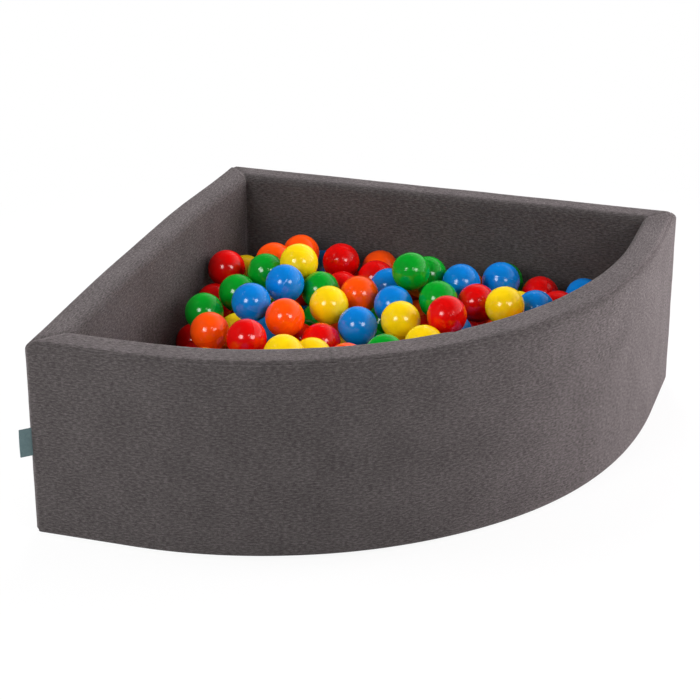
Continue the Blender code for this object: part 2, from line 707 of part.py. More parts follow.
def add_ball(name, colour_name, centre):
    """One blow-moulded ball at its centre."""
    shape = bmesh.new()
    bmesh.ops.create_icosphere(shape, subdivisions=BALL_DIVISION_STEPS, radius=BALL_RADIUS)
    mesh = bpy.data.meshes.new(name)
    shape.to_mesh(mesh)
    shape.free()
    add_object(name, mesh, plastic(colour_name), centre)


def main():
    for old in list(bpy.data.objects):
        bpy.data.objects.remove(old)
    walls = ring_walls()
    make_walls(walls)
    make_floor(walls)
    make_zip()
    make_label()
    make_balls(walls)


main()
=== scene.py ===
"""Looks of the corner ball pit: a sewn knit cover over foam, a zip, a side label and glossy plastic balls.

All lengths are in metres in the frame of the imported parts: the origin lies on the floor at the middle of the
square that the plan fits in, X runs to the right along the back wall, Y towards the back wall, and Z is up.
"""

from __future__ import annotations

import json
import logging
import math
import random
from dataclasses import dataclass, field
from enum import Enum

import bpy
import numpy as np
from mathutils import Matrix, Vector, noise


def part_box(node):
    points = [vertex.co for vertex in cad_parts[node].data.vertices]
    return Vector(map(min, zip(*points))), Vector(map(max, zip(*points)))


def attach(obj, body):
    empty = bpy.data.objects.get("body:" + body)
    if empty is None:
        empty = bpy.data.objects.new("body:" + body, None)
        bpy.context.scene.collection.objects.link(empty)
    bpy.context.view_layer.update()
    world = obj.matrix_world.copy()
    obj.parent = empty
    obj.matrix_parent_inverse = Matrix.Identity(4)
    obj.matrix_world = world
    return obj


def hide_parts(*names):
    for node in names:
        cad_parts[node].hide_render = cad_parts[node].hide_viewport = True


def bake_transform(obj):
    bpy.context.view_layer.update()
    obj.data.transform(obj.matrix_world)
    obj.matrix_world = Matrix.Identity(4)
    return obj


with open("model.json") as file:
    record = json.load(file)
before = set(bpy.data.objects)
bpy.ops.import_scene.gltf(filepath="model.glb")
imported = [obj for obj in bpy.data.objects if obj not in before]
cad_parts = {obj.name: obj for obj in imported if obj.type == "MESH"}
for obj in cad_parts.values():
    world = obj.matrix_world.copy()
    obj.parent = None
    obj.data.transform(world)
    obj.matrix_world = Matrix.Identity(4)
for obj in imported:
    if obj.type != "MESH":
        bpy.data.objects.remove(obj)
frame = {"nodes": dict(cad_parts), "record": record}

LOG = logging.getLogger("ball_pit")
Colour = tuple[float, float, float, float]
Shares = tuple[float, float, float]


class Side(Enum):
    """The three walls of the ring, in order round the pit."""

    LEFT = "left"
    ARC = "arc"
    BACK = "back"


class BallColour(Enum):
    """The five plastics, each with its base colour."""

    RED = (0.660, 0.0010, 0.0008, 1.0)
    ORANGE = (0.930, 0.076, 0.0010, 1.0)
    YELLOW = (0.870, 0.595, 0.0030, 1.0)
    GREEN = (0.0006, 0.295, 0.0160, 1.0)
    BLUE = (0.0010, 0.187, 0.600, 1.0)


class Workbench:
    """Short ways to Blender's own modelling operators, one piece at a time."""

    @staticmethod
    def clear() -> None:
        """Leave edit mode and deselect everything."""
        if bpy.context.object is not None and bpy.context.object.mode != "OBJECT":
            bpy.ops.object.mode_set(mode="OBJECT")
        bpy.ops.object.select_all(action="DESELECT")

    @staticmethod
    def pick(piece: bpy.types.Object) -> None:
        """Make one piece the only selected and the active one.

        Args:
            piece: The object to pick.
        """
        Workbench.clear()
        piece.select_set(True)
        bpy.context.view_layer.objects.active = piece

    @staticmethod
    def keep(name: str) -> bpy.types.Object:
        """Name the new active object and its mesh.

        Args:
            name: The piece's name.

        Returns:
            The active object.
        """
        piece = bpy.context.object
        piece.name = name
        piece.data.name = name
        return piece

    @staticmethod
    def apply(piece: bpy.types.Object, kind: str, **settings: object) -> None:
        """Add a modifier and apply it.

        Args:
            piece: The object to change.
            kind: The modifier's type.
            settings: The modifier's own settings.
        """
        modifier = piece.modifiers.new(kind.lower(), kind)
        for key, value in settings.items():
            setattr(modifier, key, value)
        Workbench.pick(piece)
        bpy.ops.object.modifier_apply(modifier=modifier.name)

    @staticmethod
    def settle(piece: bpy.types.Object) -> None:
        """Move the piece's place into its mesh.

        Args:
            piece: The object, which then sits at the origin.
        """
        Workbench.pick(piece)
        bpy.ops.object.transform_apply(location=True, rotation=True, scale=True)

    @staticmethod
    def join(pieces: list[bpy.types.Object], name: str) -> bpy.types.Object:
        """Join pieces into one object.

        Args:
            pieces: The objects to join.
            name: The joined piece's name.

        Returns:
            The joined object.
        """
        Workbench.pick(pieces[0])
        for piece in pieces[1:]:
            piece.select_set(True)
        if len(pieces) > 1:
            bpy.ops.object.join()
        return Workbench.keep(name)

    @staticmethod
    def coordinates(piece: bpy.types.Object) -> np.ndarray:
        """Read the piece's vertex places.

        Args:
            piece: The object to read.

        Returns:
            Rows of three numbers.
        """
        places = np.empty(len(piece.data.vertices) * 3)
        piece.data.vertices.foreach_get("co", places)
        return places.reshape(-1, 3)

    @staticmethod
    def place(piece: bpy.types.Object, places: np.ndarray) -> None:
        """Write the piece's vertex places back."""
        piece.data.vertices.foreach_set("co", places.astype(np.float32).ravel())
        piece.data.update()

    @staticmethod
    def grid(name: str, columns: int, rows: int) -> tuple[bpy.types.Object, np.ndarray, np.ndarray]:
        """Add a flat grid to shape a cloth or a slab from.

        Args:
            name: The piece's name.
            columns: How many vertices it has along X.
            rows: How many vertices it has along Y.

        Returns:
            The grid, and each vertex's column and row.
        """
        Workbench.clear()
        bpy.ops.mesh.primitive_grid_add(x_subdivisions=columns - 1, y_subdivisions=rows - 1, size=2.0)
        piece = Workbench.keep(name)
        flat = Workbench.coordinates(piece)
        column = np.rint((flat[:, 0] + 1.0) / 2.0 * (columns - 1)).astype(int)
        row = np.rint((flat[:, 1] + 1.0) / 2.0 * (rows - 1)).astype(int)
        return piece, column, row

    @staticmethod
    def plate(name: str, outline: np.ndarray, height: float, heading: float) -> bpy.types.Object:
        """Add a flat plate of triangles.

        Args:
            name: The piece's name.
            outline: Its plan points in order.
            height: Its height.
            heading: 1 where its faces look up, -1 where they look down.

        Returns:
            The plate.
        """
        Workbench.clear()
        bpy.ops.mesh.primitive_circle_add(vertices=len(outline), radius=1.0, fill_type="NGON")
        piece = Workbench.keep(name)
        Workbench.place(piece, np.column_stack([outline[::-1], np.full(len(outline), height)]))
        bpy.ops.object.mode_set(mode="EDIT")
        bpy.ops.mesh.select_all(action="SELECT")
        bpy.ops.mesh.quads_convert_to_tris(ngon_method="BEAUTY")
        Workbench.face_out(piece)
        if piece.data.polygons[0].normal.z * heading < 0.0:
            piece.data.flip_normals()
        return piece

    @staticmethod
    def lay_out(piece: bpy.types.Object, layout: np.ndarray) -> None:
        """Write the piece's UV map.

        Args:
            piece: The object.
            layout: Rows of two lengths in metres, one row for each vertex.
        """
        corners = np.empty(len(piece.data.loops), dtype=np.int32)
        piece.data.loops.foreach_get("vertex_index", corners)
        piece.data.uv_layers.active.data.foreach_set("uv", layout[corners].astype(np.float32).ravel())

    @staticmethod
    def face_out(piece: bpy.types.Object) -> None:
        """Turn all faces of a piece outwards.

        Args:
            piece: The object to change.
        """
        Workbench.pick(piece)
        bpy.ops.object.mode_set(mode="EDIT")
        bpy.ops.mesh.select_all(action="SELECT")
        bpy.ops.mesh.normals_make_consistent(inside=False)
        bpy.ops.object.mode_set(mode="OBJECT")

    @staticmethod
    def row_of(piece: bpy.types.Object, count: int, pitch: float) -> np.ndarray:
        """Repeat a piece along X and return its vertex places.

        Args:
            piece: The object to repeat.
            count: How many there are in the row.
            pitch: The distance between them.

        Returns:
            The places of all vertices.
        """
        Workbench.apply(piece, "ARRAY", count=count, use_relative_offset=False, use_constant_offset=True,
                        constant_offset_displace=(pitch, 0.0, 0.0))
        return Workbench.coordinates(piece)

    @staticmethod
    def twin(piece: bpy.types.Object) -> bpy.types.Object:
        """Copy a piece with its own mesh.

        Args:
            piece: The object to copy.

        Returns:
            The copy.
        """
        Workbench.pick(piece)
        bpy.ops.object.duplicate()
        return bpy.context.object

    @staticmethod
    def dress(piece: bpy.types.Object, look: bpy.types.Material, body: str, slot: str) -> None:
        """Give a piece its material and the body that it rides on.

        Args:
            piece: The object to dress.
            look: Its material.
            body: The name of the body that carries it.
            slot: Not used.
        """
        piece.data.materials.clear()
        piece.data.materials.append(look)
        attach(piece, body)


class NodeSheet:
    """One material's node tree, with short calls to add and join nodes."""

    def __init__(self, name: str) -> None:
        """Start a material that holds only the Principled shader.

        Args:
            name: The material's name.
        """
        self.material = bpy.data.materials.new(name)
        self.material.use_nodes = True
        self.nodes = self.material.node_tree.nodes
        self.links = self.material.node_tree.links
        self.shader = self.nodes["Principled BSDF"]

    def set(self, **values: object) -> None:
        """Set the shader's own sockets; an underscore in a name stands for a space."""
        for key, value in values.items():
            self.shader.inputs[key.replace("_", " ")].default_value = value

    def join(self, source: bpy.types.NodeSocket, target: bpy.types.NodeSocket) -> None:
        """Link one socket to another."""
        self.links.new(source, target)

    def coordinates(self, kind: str, scale: tuple[float, float, float]) -> bpy.types.NodeSocket:
        """Return texture coordinates with a scale.

        Args:
            kind: The output's name, UV or Object.
            scale: The scale on each axis.

        Returns:
            The scaled vector.
        """
        source = self.nodes.new("ShaderNodeTexCoord")
        mapping = self.nodes.new("ShaderNodeMapping")
        mapping.inputs["Scale"].default_value = scale
        self.join(source.outputs[kind], mapping.inputs["Vector"])
        return mapping.outputs["Vector"]

    def noise(self, vector: bpy.types.NodeSocket, scale: float, detail: float = 2.0,
              roughness: float = 0.5) -> bpy.types.NodeSocket:
        """Add a noise pattern.

        Args:
            vector: Where it is read.
            scale: How fine it is.
            detail: How many finer layers it has.
            roughness: How much the finer layers count.

        Returns:
            The noise value.
        """
        made = self.nodes.new("ShaderNodeTexNoise")
        made.inputs["Scale"].default_value = scale
        made.inputs["Detail"].default_value = detail
        made.inputs["Roughness"].default_value = roughness
        self.join(vector, made.inputs["Vector"])
        return made.outputs["Fac"]

    def wave(self, vector: bpy.types.NodeSocket, scale: float, axis: str,
             distortion: float = 0.0) -> bpy.types.NodeSocket:
        """Add a pattern of bands.

        Args:
            vector: Where it is read.
            scale: How fine it is.
            axis: The axis that it runs along, X or Y.
            distortion: How far the bands wander.

        Returns:
            The band value.
        """
        made = self.nodes.new("ShaderNodeTexWave")
        made.bands_direction = axis
        made.inputs["Scale"].default_value = scale
        made.inputs["Distortion"].default_value = distortion
        self.join(vector, made.inputs["Vector"])
        return made.outputs["Fac"]

    def math(self, operation: str, first: bpy.types.NodeSocket | float,
             second: bpy.types.NodeSocket | float = 0.0) -> bpy.types.NodeSocket:
        """Add a sum, a product or another step of reckoning.

        Args:
            operation: The Math node's operation.
            first: A socket or a plain number.
            second: A socket or a plain number.

        Returns:
            The result.
        """
        made = self.nodes.new("ShaderNodeMath")
        made.operation = operation
        for index, value in enumerate((first, second)):
            if isinstance(value, bpy.types.NodeSocket):
                self.join(value, made.inputs[index])
            else:
                made.inputs[index].default_value = value
        return made.outputs["Value"]

    def blend(self, parts: list[tuple[bpy.types.NodeSocket, float]]) -> bpy.types.NodeSocket:
        """Add up patterns.

        Args:
            parts: Pattern sockets, each with its share.

        Returns:
            The sum.
        """
        shares = [self.math("MULTIPLY", part, share) for part, share in parts]
        total = shares[0]
        for share in shares[1:]:
            total = self.math("ADD", total, share)
        return total

    def ramp(self, value: bpy.types.NodeSocket, stops: list[tuple[float, Colour]]) -> bpy.types.NodeSocket:
        """Return a colour ramp of a value.

        Args:
            value: The value to read.
            stops: Places and colours along the ramp.

        Returns:
            The ramp's colour.
        """
        made = self.nodes.new("ShaderNodeValToRGB")
        elements = made.color_ramp.elements
        while len(elements) < len(stops):
            elements.new(0.5)
        for element, (position, colour) in zip(elements, stops):
            element.position = position
            element.color = colour
        self.join(value, made.inputs["Fac"])
        return made.outputs["Color"]

    def span(self, value: bpy.types.NodeSocket, low: float, high: float) -> bpy.types.NodeSocket:
        """Stretch a value from 0 to 1.

        Args:
            value: The value to read.
            low: What 0 becomes.
            high: What 1 becomes.

        Returns:
            The stretched value.
        """
        made = self.nodes.new("ShaderNodeMapRange")
        made.inputs["To Min"].default_value = low
        made.inputs["To Max"].default_value = high
        self.join(value, made.inputs["Value"])
        return made.outputs["Result"]

    def bump(self, heights: list[tuple[bpy.types.NodeSocket, float]], strength: float = 1.0) -> None:
        """Chain bump nodes into the shader's normal.

        Args:
            heights: Height sockets, each with its depth in metres.
            strength: How strongly each acts.
        """
        last = None
        for height, distance in heights:
            made = self.nodes.new("ShaderNodeBump")
            made.inputs["Strength"].default_value = strength
            made.inputs["Distance"].default_value = distance
            self.join(height, made.inputs["Height"])
            if last is not None:
                self.join(last, made.inputs["Normal"])
            last = made.outputs["Normal"]
        self.join(last, self.shader.inputs["Normal"])


def shaded(colour: Colour, share: float) -> Colour:
    """Return a colour with its three channels multiplied by a share, each held at 1 at most."""
    return tuple(min(1.0, channel * share) for channel in colour[:3]) + (1.0,)


@dataclass(frozen=True)
class KnitFinish:
    """Heathered jersey knit, brushed, with flecks drawn out along the rows."""

    name: str = "heather_knit"
    dark: Colour = (0.0292, 0.0253, 0.0253, 1.0)
    middle: Colour = (0.0560, 0.0494, 0.0490, 1.0)
    light: Colour = (0.1120, 0.1000, 0.0995, 1.0)
    bare: Colour = (0.04, 0.04, 0.04, 1.0)
    brushed: Colour = (0.28, 0.28, 0.28, 1.0)
    fleck_length: float = 0.0075
    fleck_height: float = 0.0026
    wale: float = 0.0014
    course: float = 0.0011
    fibres_per_metre: float = 620.0
    mottles_per_metre: float = 16.0
    fleck_share: float = 0.60
    fibre_share: float = 0.30
    mottle_share: float = 0.10
    colour_stops: tuple[float, float, float] = (0.34, 0.50, 0.70)
    sheen_stops: tuple[float, float] = (0.38, 0.64)
    loop_depth: float = 0.00018
    fleck_depth: float = 0.00035
    mottle_depth: float = 0.0012
    sheen_tint: Colour = (0.96, 0.84, 0.87, 1.0)

    def make(self) -> bpy.types.Material:
        """Build the node material, which reads the UV map in metres.

        Returns:
            The knit.
        """
        sheet = NodeSheet(self.name)
        metres = sheet.coordinates("UV", (1.0, 1.0, 1.0))
        streaked = sheet.coordinates("UV", (1.0 / self.fleck_length, 1.0 / self.fleck_height, 1.0))
        flecks = sheet.noise(streaked, 1.0, detail=3.0, roughness=0.62)
        fibres = sheet.noise(metres, self.fibres_per_metre, detail=2.0, roughness=0.6)
        mottle = sheet.noise(metres, self.mottles_per_metre, detail=2.0, roughness=0.5)
        total = sheet.blend([(flecks, self.fleck_share), (fibres, self.fibre_share),
                             (mottle, self.mottle_share)])
        colour = sheet.ramp(total, list(zip(self.colour_stops, (self.dark, self.middle, self.light))))
        sheet.join(colour, sheet.shader.inputs["Base Color"])
        brushing = sheet.ramp(total, list(zip(self.sheen_stops, (self.bare, self.brushed))))
        sheet.join(brushing, sheet.shader.inputs["Sheen Weight"])
        wales = sheet.wave(metres, 1.0 / self.wale / 2.0, "X")
        courses = sheet.wave(metres, 1.0 / self.course / 2.0, "Y", distortion=0.6)
        loops = sheet.math("MULTIPLY", wales, courses)
        sheet.bump([(loops, self.loop_depth), (flecks, self.fleck_depth), (mottle, self.mottle_depth)],
                   strength=0.8)
        sheet.set(Roughness=0.95, Specular_IOR_Level=0.12, Sheen_Roughness=0.55, Sheen_Tint=self.sheen_tint)
        return sheet.material


@dataclass(frozen=True)
class WovenFinish:
    """Plain woven cloth, ribbon or tape, with fine ribs both ways."""

    name: str
    dark: Colour
    light: Colour
    rib: float
    depth: float
    roughness: float = 0.8
    sheen: float = 0.1
    worn_spots_per_metre: float = 180.0
    worn_share: float = 0.5
    colour_stops: tuple[float, float] = (0.20, 0.75)

    def make(self) -> bpy.types.Material:
        """Build the node material, which reads the UV map in metres.

        Returns:
            The woven cloth.
        """
        sheet = NodeSheet(self.name)
        metres = sheet.coordinates("UV", (1.0, 1.0, 1.0))
        warp = sheet.wave(metres, 1.0 / self.rib / 2.0, "X", distortion=0.4)
        weft = sheet.wave(metres, 1.0 / self.rib / 2.0, "Y", distortion=0.4)
        weave = sheet.math("MULTIPLY", warp, weft)
        worn = sheet.noise(metres, self.worn_spots_per_metre, detail=3.0, roughness=0.6)
        shade = sheet.blend([(weave, 1.0 - self.worn_share), (worn, self.worn_share)])
        colour = sheet.ramp(shade, list(zip(self.colour_stops, (self.dark, self.light))))
        sheet.join(colour, sheet.shader.inputs["Base Color"])
        sheet.bump([(weave, self.depth), (worn, self.depth)], strength=0.7)
        sheet.set(Roughness=self.roughness, Specular_IOR_Level=0.25, Sheen_Weight=self.sheen,
                  Sheen_Roughness=0.5)
        return sheet.material


@dataclass(frozen=True)
class PlasticFinish:
    """Glossy blow-moulded plastic with a faint skin texture, a slight glow and light scuffs."""

    name: str
    colour: Colour
    roughness: float = 0.13
    glow_depth: float = 0.012
    skin_depth: float = 0.00035
    patches_per_metre: float = 55.0
    scuffs_per_metre: float = 420.0
    shade_shares: tuple[float, float] = (0.90, 1.06)
    shade_stops: tuple[float, float] = (0.25, 0.75)
    scuff_shares: tuple[float, float] = (0.7, 1.6)

    def make(self) -> bpy.types.Material:
        """Build the node material on Object coordinates.

        Returns:
            The plastic.
        """
        sheet = NodeSheet(self.name)
        metres = sheet.coordinates("Object", (1.0, 1.0, 1.0))
        skin = sheet.noise(metres, self.patches_per_metre, detail=2.0, roughness=0.5)
        scuffs = sheet.noise(metres, self.scuffs_per_metre, detail=4.0, roughness=0.7)
        shades = [shaded(self.colour, share) for share in self.shade_shares]
        colour = sheet.ramp(skin, list(zip(self.shade_stops, shades)))
        sheet.join(colour, sheet.shader.inputs["Base Color"])
        rough = sheet.span(scuffs, *(self.roughness * share for share in self.scuff_shares))
        sheet.join(rough, sheet.shader.inputs["Roughness"])
        sheet.bump([(skin, self.skin_depth)], strength=0.02)
        sheet.set(Specular_IOR_Level=0.5, Subsurface_Weight=0.12, Subsurface_Scale=self.glow_depth,
                  Subsurface_Radius=(1.0, 1.0, 1.0))
        return sheet.material


@dataclass(frozen=True)
class MetalFinish:
    """Nickel-plated zip metal with fine brushing and finger wear."""

    name: str = "nickel"
    colour: Colour = (0.46, 0.45, 0.43, 1.0)
    brush_marks_per_metre: tuple[float, float, float] = (300.0, 2400.0, 2400.0)
    worn_spots_per_metre: float = 500.0
    brush_depth: float = 0.00002
    dull_share: float = 0.7
    wear_stops: tuple[float, float] = (0.35, 0.6)
    roughness_span: tuple[float, float] = (0.22, 0.42)

    def make(self) -> bpy.types.Material:
        """Build the node material on Object coordinates.

        Returns:
            The metal.
        """
        sheet = NodeSheet(self.name)
        streaked = sheet.coordinates("Object", self.brush_marks_per_metre)
        metres = sheet.coordinates("Object", (1.0, 1.0, 1.0))
        brushed = sheet.noise(streaked, 1.0, detail=2.0, roughness=0.5)
        wear = sheet.noise(metres, self.worn_spots_per_metre, detail=3.0, roughness=0.6)
        shades = (shaded(self.colour, self.dull_share), self.colour)
        colour = sheet.ramp(wear, list(zip(self.wear_stops, shades)))
        sheet.join(colour, sheet.shader.inputs["Base Color"])
        sheet.join(sheet.span(brushed, *self.roughness_span), sheet.shader.inputs["Roughness"])
        sheet.bump([(brushed, self.brush_depth)], strength=0.5)
        sheet.set(Metallic=1.0)
        return sheet.material


@dataclass(frozen=True)
class FoamFinish:
    """Open-cell foam with fine pores, coloured charcoal so that the seam gaps between the cover panels, where
    it shows, hold painted shade.
    """

    name: str = "charcoal_foam_painted_seam_shade"
    # Painted shade: this dark grey stands in for the shade inside the seam gaps where the foam shows between
    # the panels.
    colour: Colour = (0.050, 0.047, 0.047, 1.0)
    pores_per_metre: float = 900.0
    pore_depth: float = 0.0006
    dull_share: float = 0.72
    pore_stops: tuple[float, float] = (0.3, 0.6)

    def make(self) -> bpy.types.Material:
        """Build the node material on Object coordinates.

        Returns:
            The foam.
        """
        sheet = NodeSheet(self.name)
        metres = sheet.coordinates("Object", (1.0, 1.0, 1.0))
        pores = sheet.noise(metres, self.pores_per_metre, detail=4.0, roughness=0.8)
        shades = (shaded(self.colour, self.dull_share), self.colour)
        colour = sheet.ramp(pores, list(zip(self.pore_stops, shades)))
        sheet.join(colour, sheet.shader.inputs["Base Color"])
        sheet.bump([(pores, self.pore_depth)], strength=0.9)
        sheet.set(Roughness=0.97, Specular_IOR_Level=0.1)
        return sheet.material


SOLE_WEAVE = WovenFinish("sole_weave", dark=(0.012, 0.012, 0.013, 1.0), light=(0.045, 0.044, 0.046, 1.0),
                         rib=0.0016, depth=0.0003)
TAPE_WEAVE = WovenFinish("zip_tape_weave", dark=(0.022, 0.020, 0.020, 1.0), light=(0.070, 0.066, 0.066, 1.0),
                         rib=0.0007, depth=0.0001)
RIBBON_WEAVE = WovenFinish("teal_ribbon_weave", dark=(0.060, 0.105, 0.112, 1.0),
                           light=(0.125, 0.190, 0.198, 1.0), rib=0.0006, depth=0.00008, roughness=0.6,
                           sheen=0.3)
THREAD = WovenFinish("grey_thread", dark=(0.050, 0.046, 0.045, 1.0), light=(0.110, 0.100, 0.098, 1.0),
                     rib=0.0003, depth=0.00005)
COIL_NYLON = PlasticFinish("coil_nylon", colour=(0.045, 0.042, 0.042, 1.0), roughness=0.35)


@dataclass(frozen=True)
class PitPlan:
    """The sizes that the cover follows: the parts' own, but with tighter corners and ends pulled in."""

    side: float = 0.900
    height: float = 0.336
    lead: float = 0.167
    straight_wall: float = 0.056
    bent_wall: float = 0.066
    floor_top: float = 0.042
    rim_radius: float = 0.015
    hem_radius: float = 0.008
    corner_radius: float = 0.008
    inner_corner_radius: float = 0.004
    cloth: float = 0.0014
    gap: float = 0.0003
    layer_pitch: float = 0.062
    spacing: float = 0.0065
    least_step: float = 0.001
    corner_steps: int = 8
    bend_pull: float = 0.0045
    end_pull: float = 0.0165
    pull_start: float = -0.22
    pull_length: float = 0.47
    pull_width: float = 0.30
    inner_end_share: float = 0.30
    front_corner_pull: float = 0.0075
    back_corner_pull: float = 0.0150
    corner_start: float = 0.12
    corner_length: float = 0.33

    @property
    def half(self) -> float:
        """Half the side of the square that the plan fits in."""
        return self.side / 2

    @property
    def bend_radius(self) -> float:
        """Outer radius of the bent wall."""
        return self.side - self.lead

    @property
    def bend_centre(self) -> Vector:
        """Plan centre of the bend."""
        return Vector((self.lead - self.half, self.half - self.lead))

    @property
    def inner_span(self) -> float:
        """Clear width between the inner faces."""
        return self.side - self.straight_wall - self.bent_wall

    def thickness(self, side: Side) -> float:
        """Thickness of a wall."""
        return self.bent_wall if side is Side.ARC else self.straight_wall

    def corner_row(self, outer: Vector, inner: Vector, inward: Vector, start: float,
                   end: float) -> list[tuple[Vector, Vector]]:
        """Place the stations round half a corner.

        Args:
            outer: The outer corner, before rounding.
            inner: The inner corner, before rounding.
            inward: The diagonal that points into the pit, one unit along each axis.
            start: First angle in degrees.
            end: Last angle in degrees.

        Returns:
            Pairs of an outer and an inner plan point.
        """
        row = []
        for step in range(self.corner_steps + 1):
            turn = math.radians(start + (end - start) * step / self.corner_steps)
            heading = Vector((math.cos(turn), math.sin(turn)))
            row.append((outer + inward * self.corner_radius + heading * self.corner_radius,
                        inner + inward * self.inner_corner_radius + heading * self.inner_corner_radius))
        return row

    def stations(self, side: Side) -> np.ndarray:
        """Place the stations of a wall at an even spacing.

        Args:
            side: The wall.

        Returns:
            An array of stations, each an outer and an inner plan point.
        """
        far = self.half
        back_left = (Vector((-far, far)), Vector((self.straight_wall - far, far - self.straight_wall)),
                     Vector((1.0, -1.0)))
        front_left = (Vector((-far, -far)), Vector((self.straight_wall - far, self.bent_wall - far)),
                      Vector((1.0, 1.0)))
        back_right = (Vector((far, far)), Vector((far - self.bent_wall, far - self.straight_wall)),
                      Vector((-1.0, -1.0)))
        if side is Side.LEFT:
            rows = self.corner_row(*back_left, 135.0, 180.0) + self.corner_row(*front_left, 180.0, 225.0)
        elif side is Side.BACK:
            rows = self.corner_row(*back_right, 45.0, 90.0) + self.corner_row(*back_left, 90.0, 135.0)
        else:
            rows = self.corner_row(*front_left, 225.0, 270.0)
            steps = math.ceil(self.bend_radius * math.pi / 2 / self.spacing)
            for step in range(steps + 1):
                turn = math.radians(270.0 + 90.0 * step / steps)
                heading = Vector((math.cos(turn), math.sin(turn)))
                rows.append((self.bend_centre + heading * self.bend_radius,
                             self.bend_centre + heading * (self.bend_radius - self.bent_wall)))
            rows += self.corner_row(*back_right, 0.0, 45.0)
        filled = self.filled(self.drawn_back(rows))
        filled[:, 0, 0] -= self.pull(filled[:, 0])
        filled[:, 1, 0] -= self.pull(filled[:, 1], self.inner_end_share)
        return filled

    @staticmethod
    def eased(values: np.ndarray) -> np.ndarray:
        """Values held between 0 and 1, with a soft start and end."""
        held = np.clip(values, 0.0, 1.0)
        return held * held * (3.0 - 2.0 * held)

    def pull(self, points: np.ndarray, end_share: float = 1.0) -> np.ndarray:
        """Work out how far the bend's right end and the left wall's ends lie inside the square.

        Args:
            points: Places whose last axis starts with the plan's x and y.
            end_share: How much of the curl at the bend's right end counts.

        Returns:
            The distance to the left for each.
        """
        end = self.eased((points[..., 1] - self.pull_start) / self.pull_length)
        back = self.eased((points[..., 1] - self.corner_start) / self.corner_length)
        front = self.eased((-points[..., 1] - self.corner_start) / self.corner_length)
        right = self.bend_pull + self.end_pull * end * end_share
        left = self.back_corner_pull * back + self.front_corner_pull * front
        across = points[..., 0] / self.pull_width
        return right * self.eased(across) - left * self.eased(-across)

    def drawn_back(self, rows: list[tuple[Vector, Vector]]) -> list[tuple[Vector, Vector]]:
        """Draw the two end stations back by half the seam gap.

        Args:
            rows: Pairs of an outer and an inner plan point.

        Returns:
            The pairs with both ends moved.
        """
        moved = list(rows)
        for end, beside in ((0, 1), (-1, -2)):
            outer, inner = moved[end]
            across = (inner - outer).normalized()
            along = moved[beside][0].lerp(moved[beside][1], 0.5) - outer.lerp(inner, 0.5)
            back = (along - across * along.dot(across)).normalized() * (self.gap / 2)
            moved[end] = (outer + back, inner + back)
        return moved

    def filled(self, rows: list[tuple[Vector, Vector]]) -> np.ndarray:
        """Fill long runs between stations at the even spacing.

        Args:
            rows: Pairs of an outer and an inner plan point.

        Returns:
            An array of stations, each an outer and an inner plan point.
        """
        points = [rows[0]]
        for before, after in zip(rows, rows[1:]):
            run = max((after[0] - before[0]).length, (after[1] - before[1]).length)
            pieces = max(1, math.ceil(run / self.spacing))
            for step in range(1, pieces + 1):
                share = step / pieces
                points.append((before[0].lerp(after[0], share), before[1].lerp(after[1], share)))
        return np.array([[list(outer), list(inner)] for outer, inner in points])

    def thinned(self, outline: np.ndarray) -> np.ndarray:
        """Leave out outline points that lie too close to the one before or to the first.

        Args:
            outline: Plan points in order.

        Returns:
            The points that stay.
        """
        kept = [outline[0]]
        for point in outline[1:]:
            if min(np.linalg.norm(point - kept[-1]), np.linalg.norm(point - kept[0])) > self.least_step:
                kept.append(point)
        return np.array(kept)

    def centre_at(self, shares: Shares) -> np.ndarray:
        """Place a ball's centre.

        Args:
            shares: Of the inner span from the left and from the back wall, and of the height up to the rim.

        Returns:
            The centre.
        """
        return np.array([self.straight_wall - self.half + shares[0] * self.inner_span,
                         self.half - self.straight_wall - shares[1] * self.inner_span,
                         self.floor_top + shares[2] * (self.height - self.floor_top)])

    def kept_inside(self, centres: np.ndarray, room: float) -> np.ndarray:
        """Move ball centres so that they keep some room to the walls and the floor.

        Args:
            centres: Rows of centres.
            room: The room to keep.

        Returns:
            The moved centres.
        """
        kept = centres.copy()
        straight = self.half - self.straight_wall - room
        bent = self.half - self.bent_wall - room
        kept[:, 0] = np.clip(kept[:, 0], -straight, bent)
        kept[:, 1] = np.clip(kept[:, 1], -bent, straight)
        kept[:, 2] = np.maximum(kept[:, 2], self.floor_top + room)
        middle = np.array(self.bend_centre)
        outward = kept[:, :2] - middle
        length = np.linalg.norm(outward, axis=1)
        reach = self.bend_radius - self.bent_wall - room
        beyond = (outward[:, 0] > 0.0) & (outward[:, 1] < 0.0) & (length > reach)
        kept[beyond, :2] = middle + outward[beyond] / length[beyond, None] * reach
        return kept

    def inside_lining(self, centres: np.ndarray, room: float) -> np.ndarray:
        """Move ball centres so that they keep some room to the linings where these curl in.

        Args:
            centres: Rows of centres.
            room: The room to keep.

        Returns:
            The moved centres.
        """
        moved = centres.copy()
        moved[:, 0] += self.pull(moved, self.inner_end_share)
        moved = self.kept_inside(moved, room)
        moved[:, 0] -= self.pull(moved, self.inner_end_share)
        return moved


def arc_points(centre: tuple[float, float], radius: float, start: float, end: float,
               steps: int) -> list[tuple[float, float]]:
    """Place the points of a round stretch of a profile.

    Args:
        centre: Depth and height of its centre.
        radius: Its radius.
        start: First angle in degrees.
        end: Last angle in degrees.
        steps: How many parts it has.

    Returns:
        Pairs of depth and height.
    """
    row = []
    for step in range(steps + 1):
        turn = math.radians(start + (end - start) * step / steps)
        row.append((centre[0] + math.cos(turn) * radius, centre[1] + math.sin(turn) * radius))
    return row


def run_points(start: tuple[float, float], end: tuple[float, float],
               steps: int) -> list[tuple[float, float]]:
    """Place evenly spaced points between two profile points, without the ends."""
    return [(start[0] + (end[0] - start[0]) * step / steps, start[1] + (end[1] - start[1]) * step / steps)
            for step in range(1, steps)]


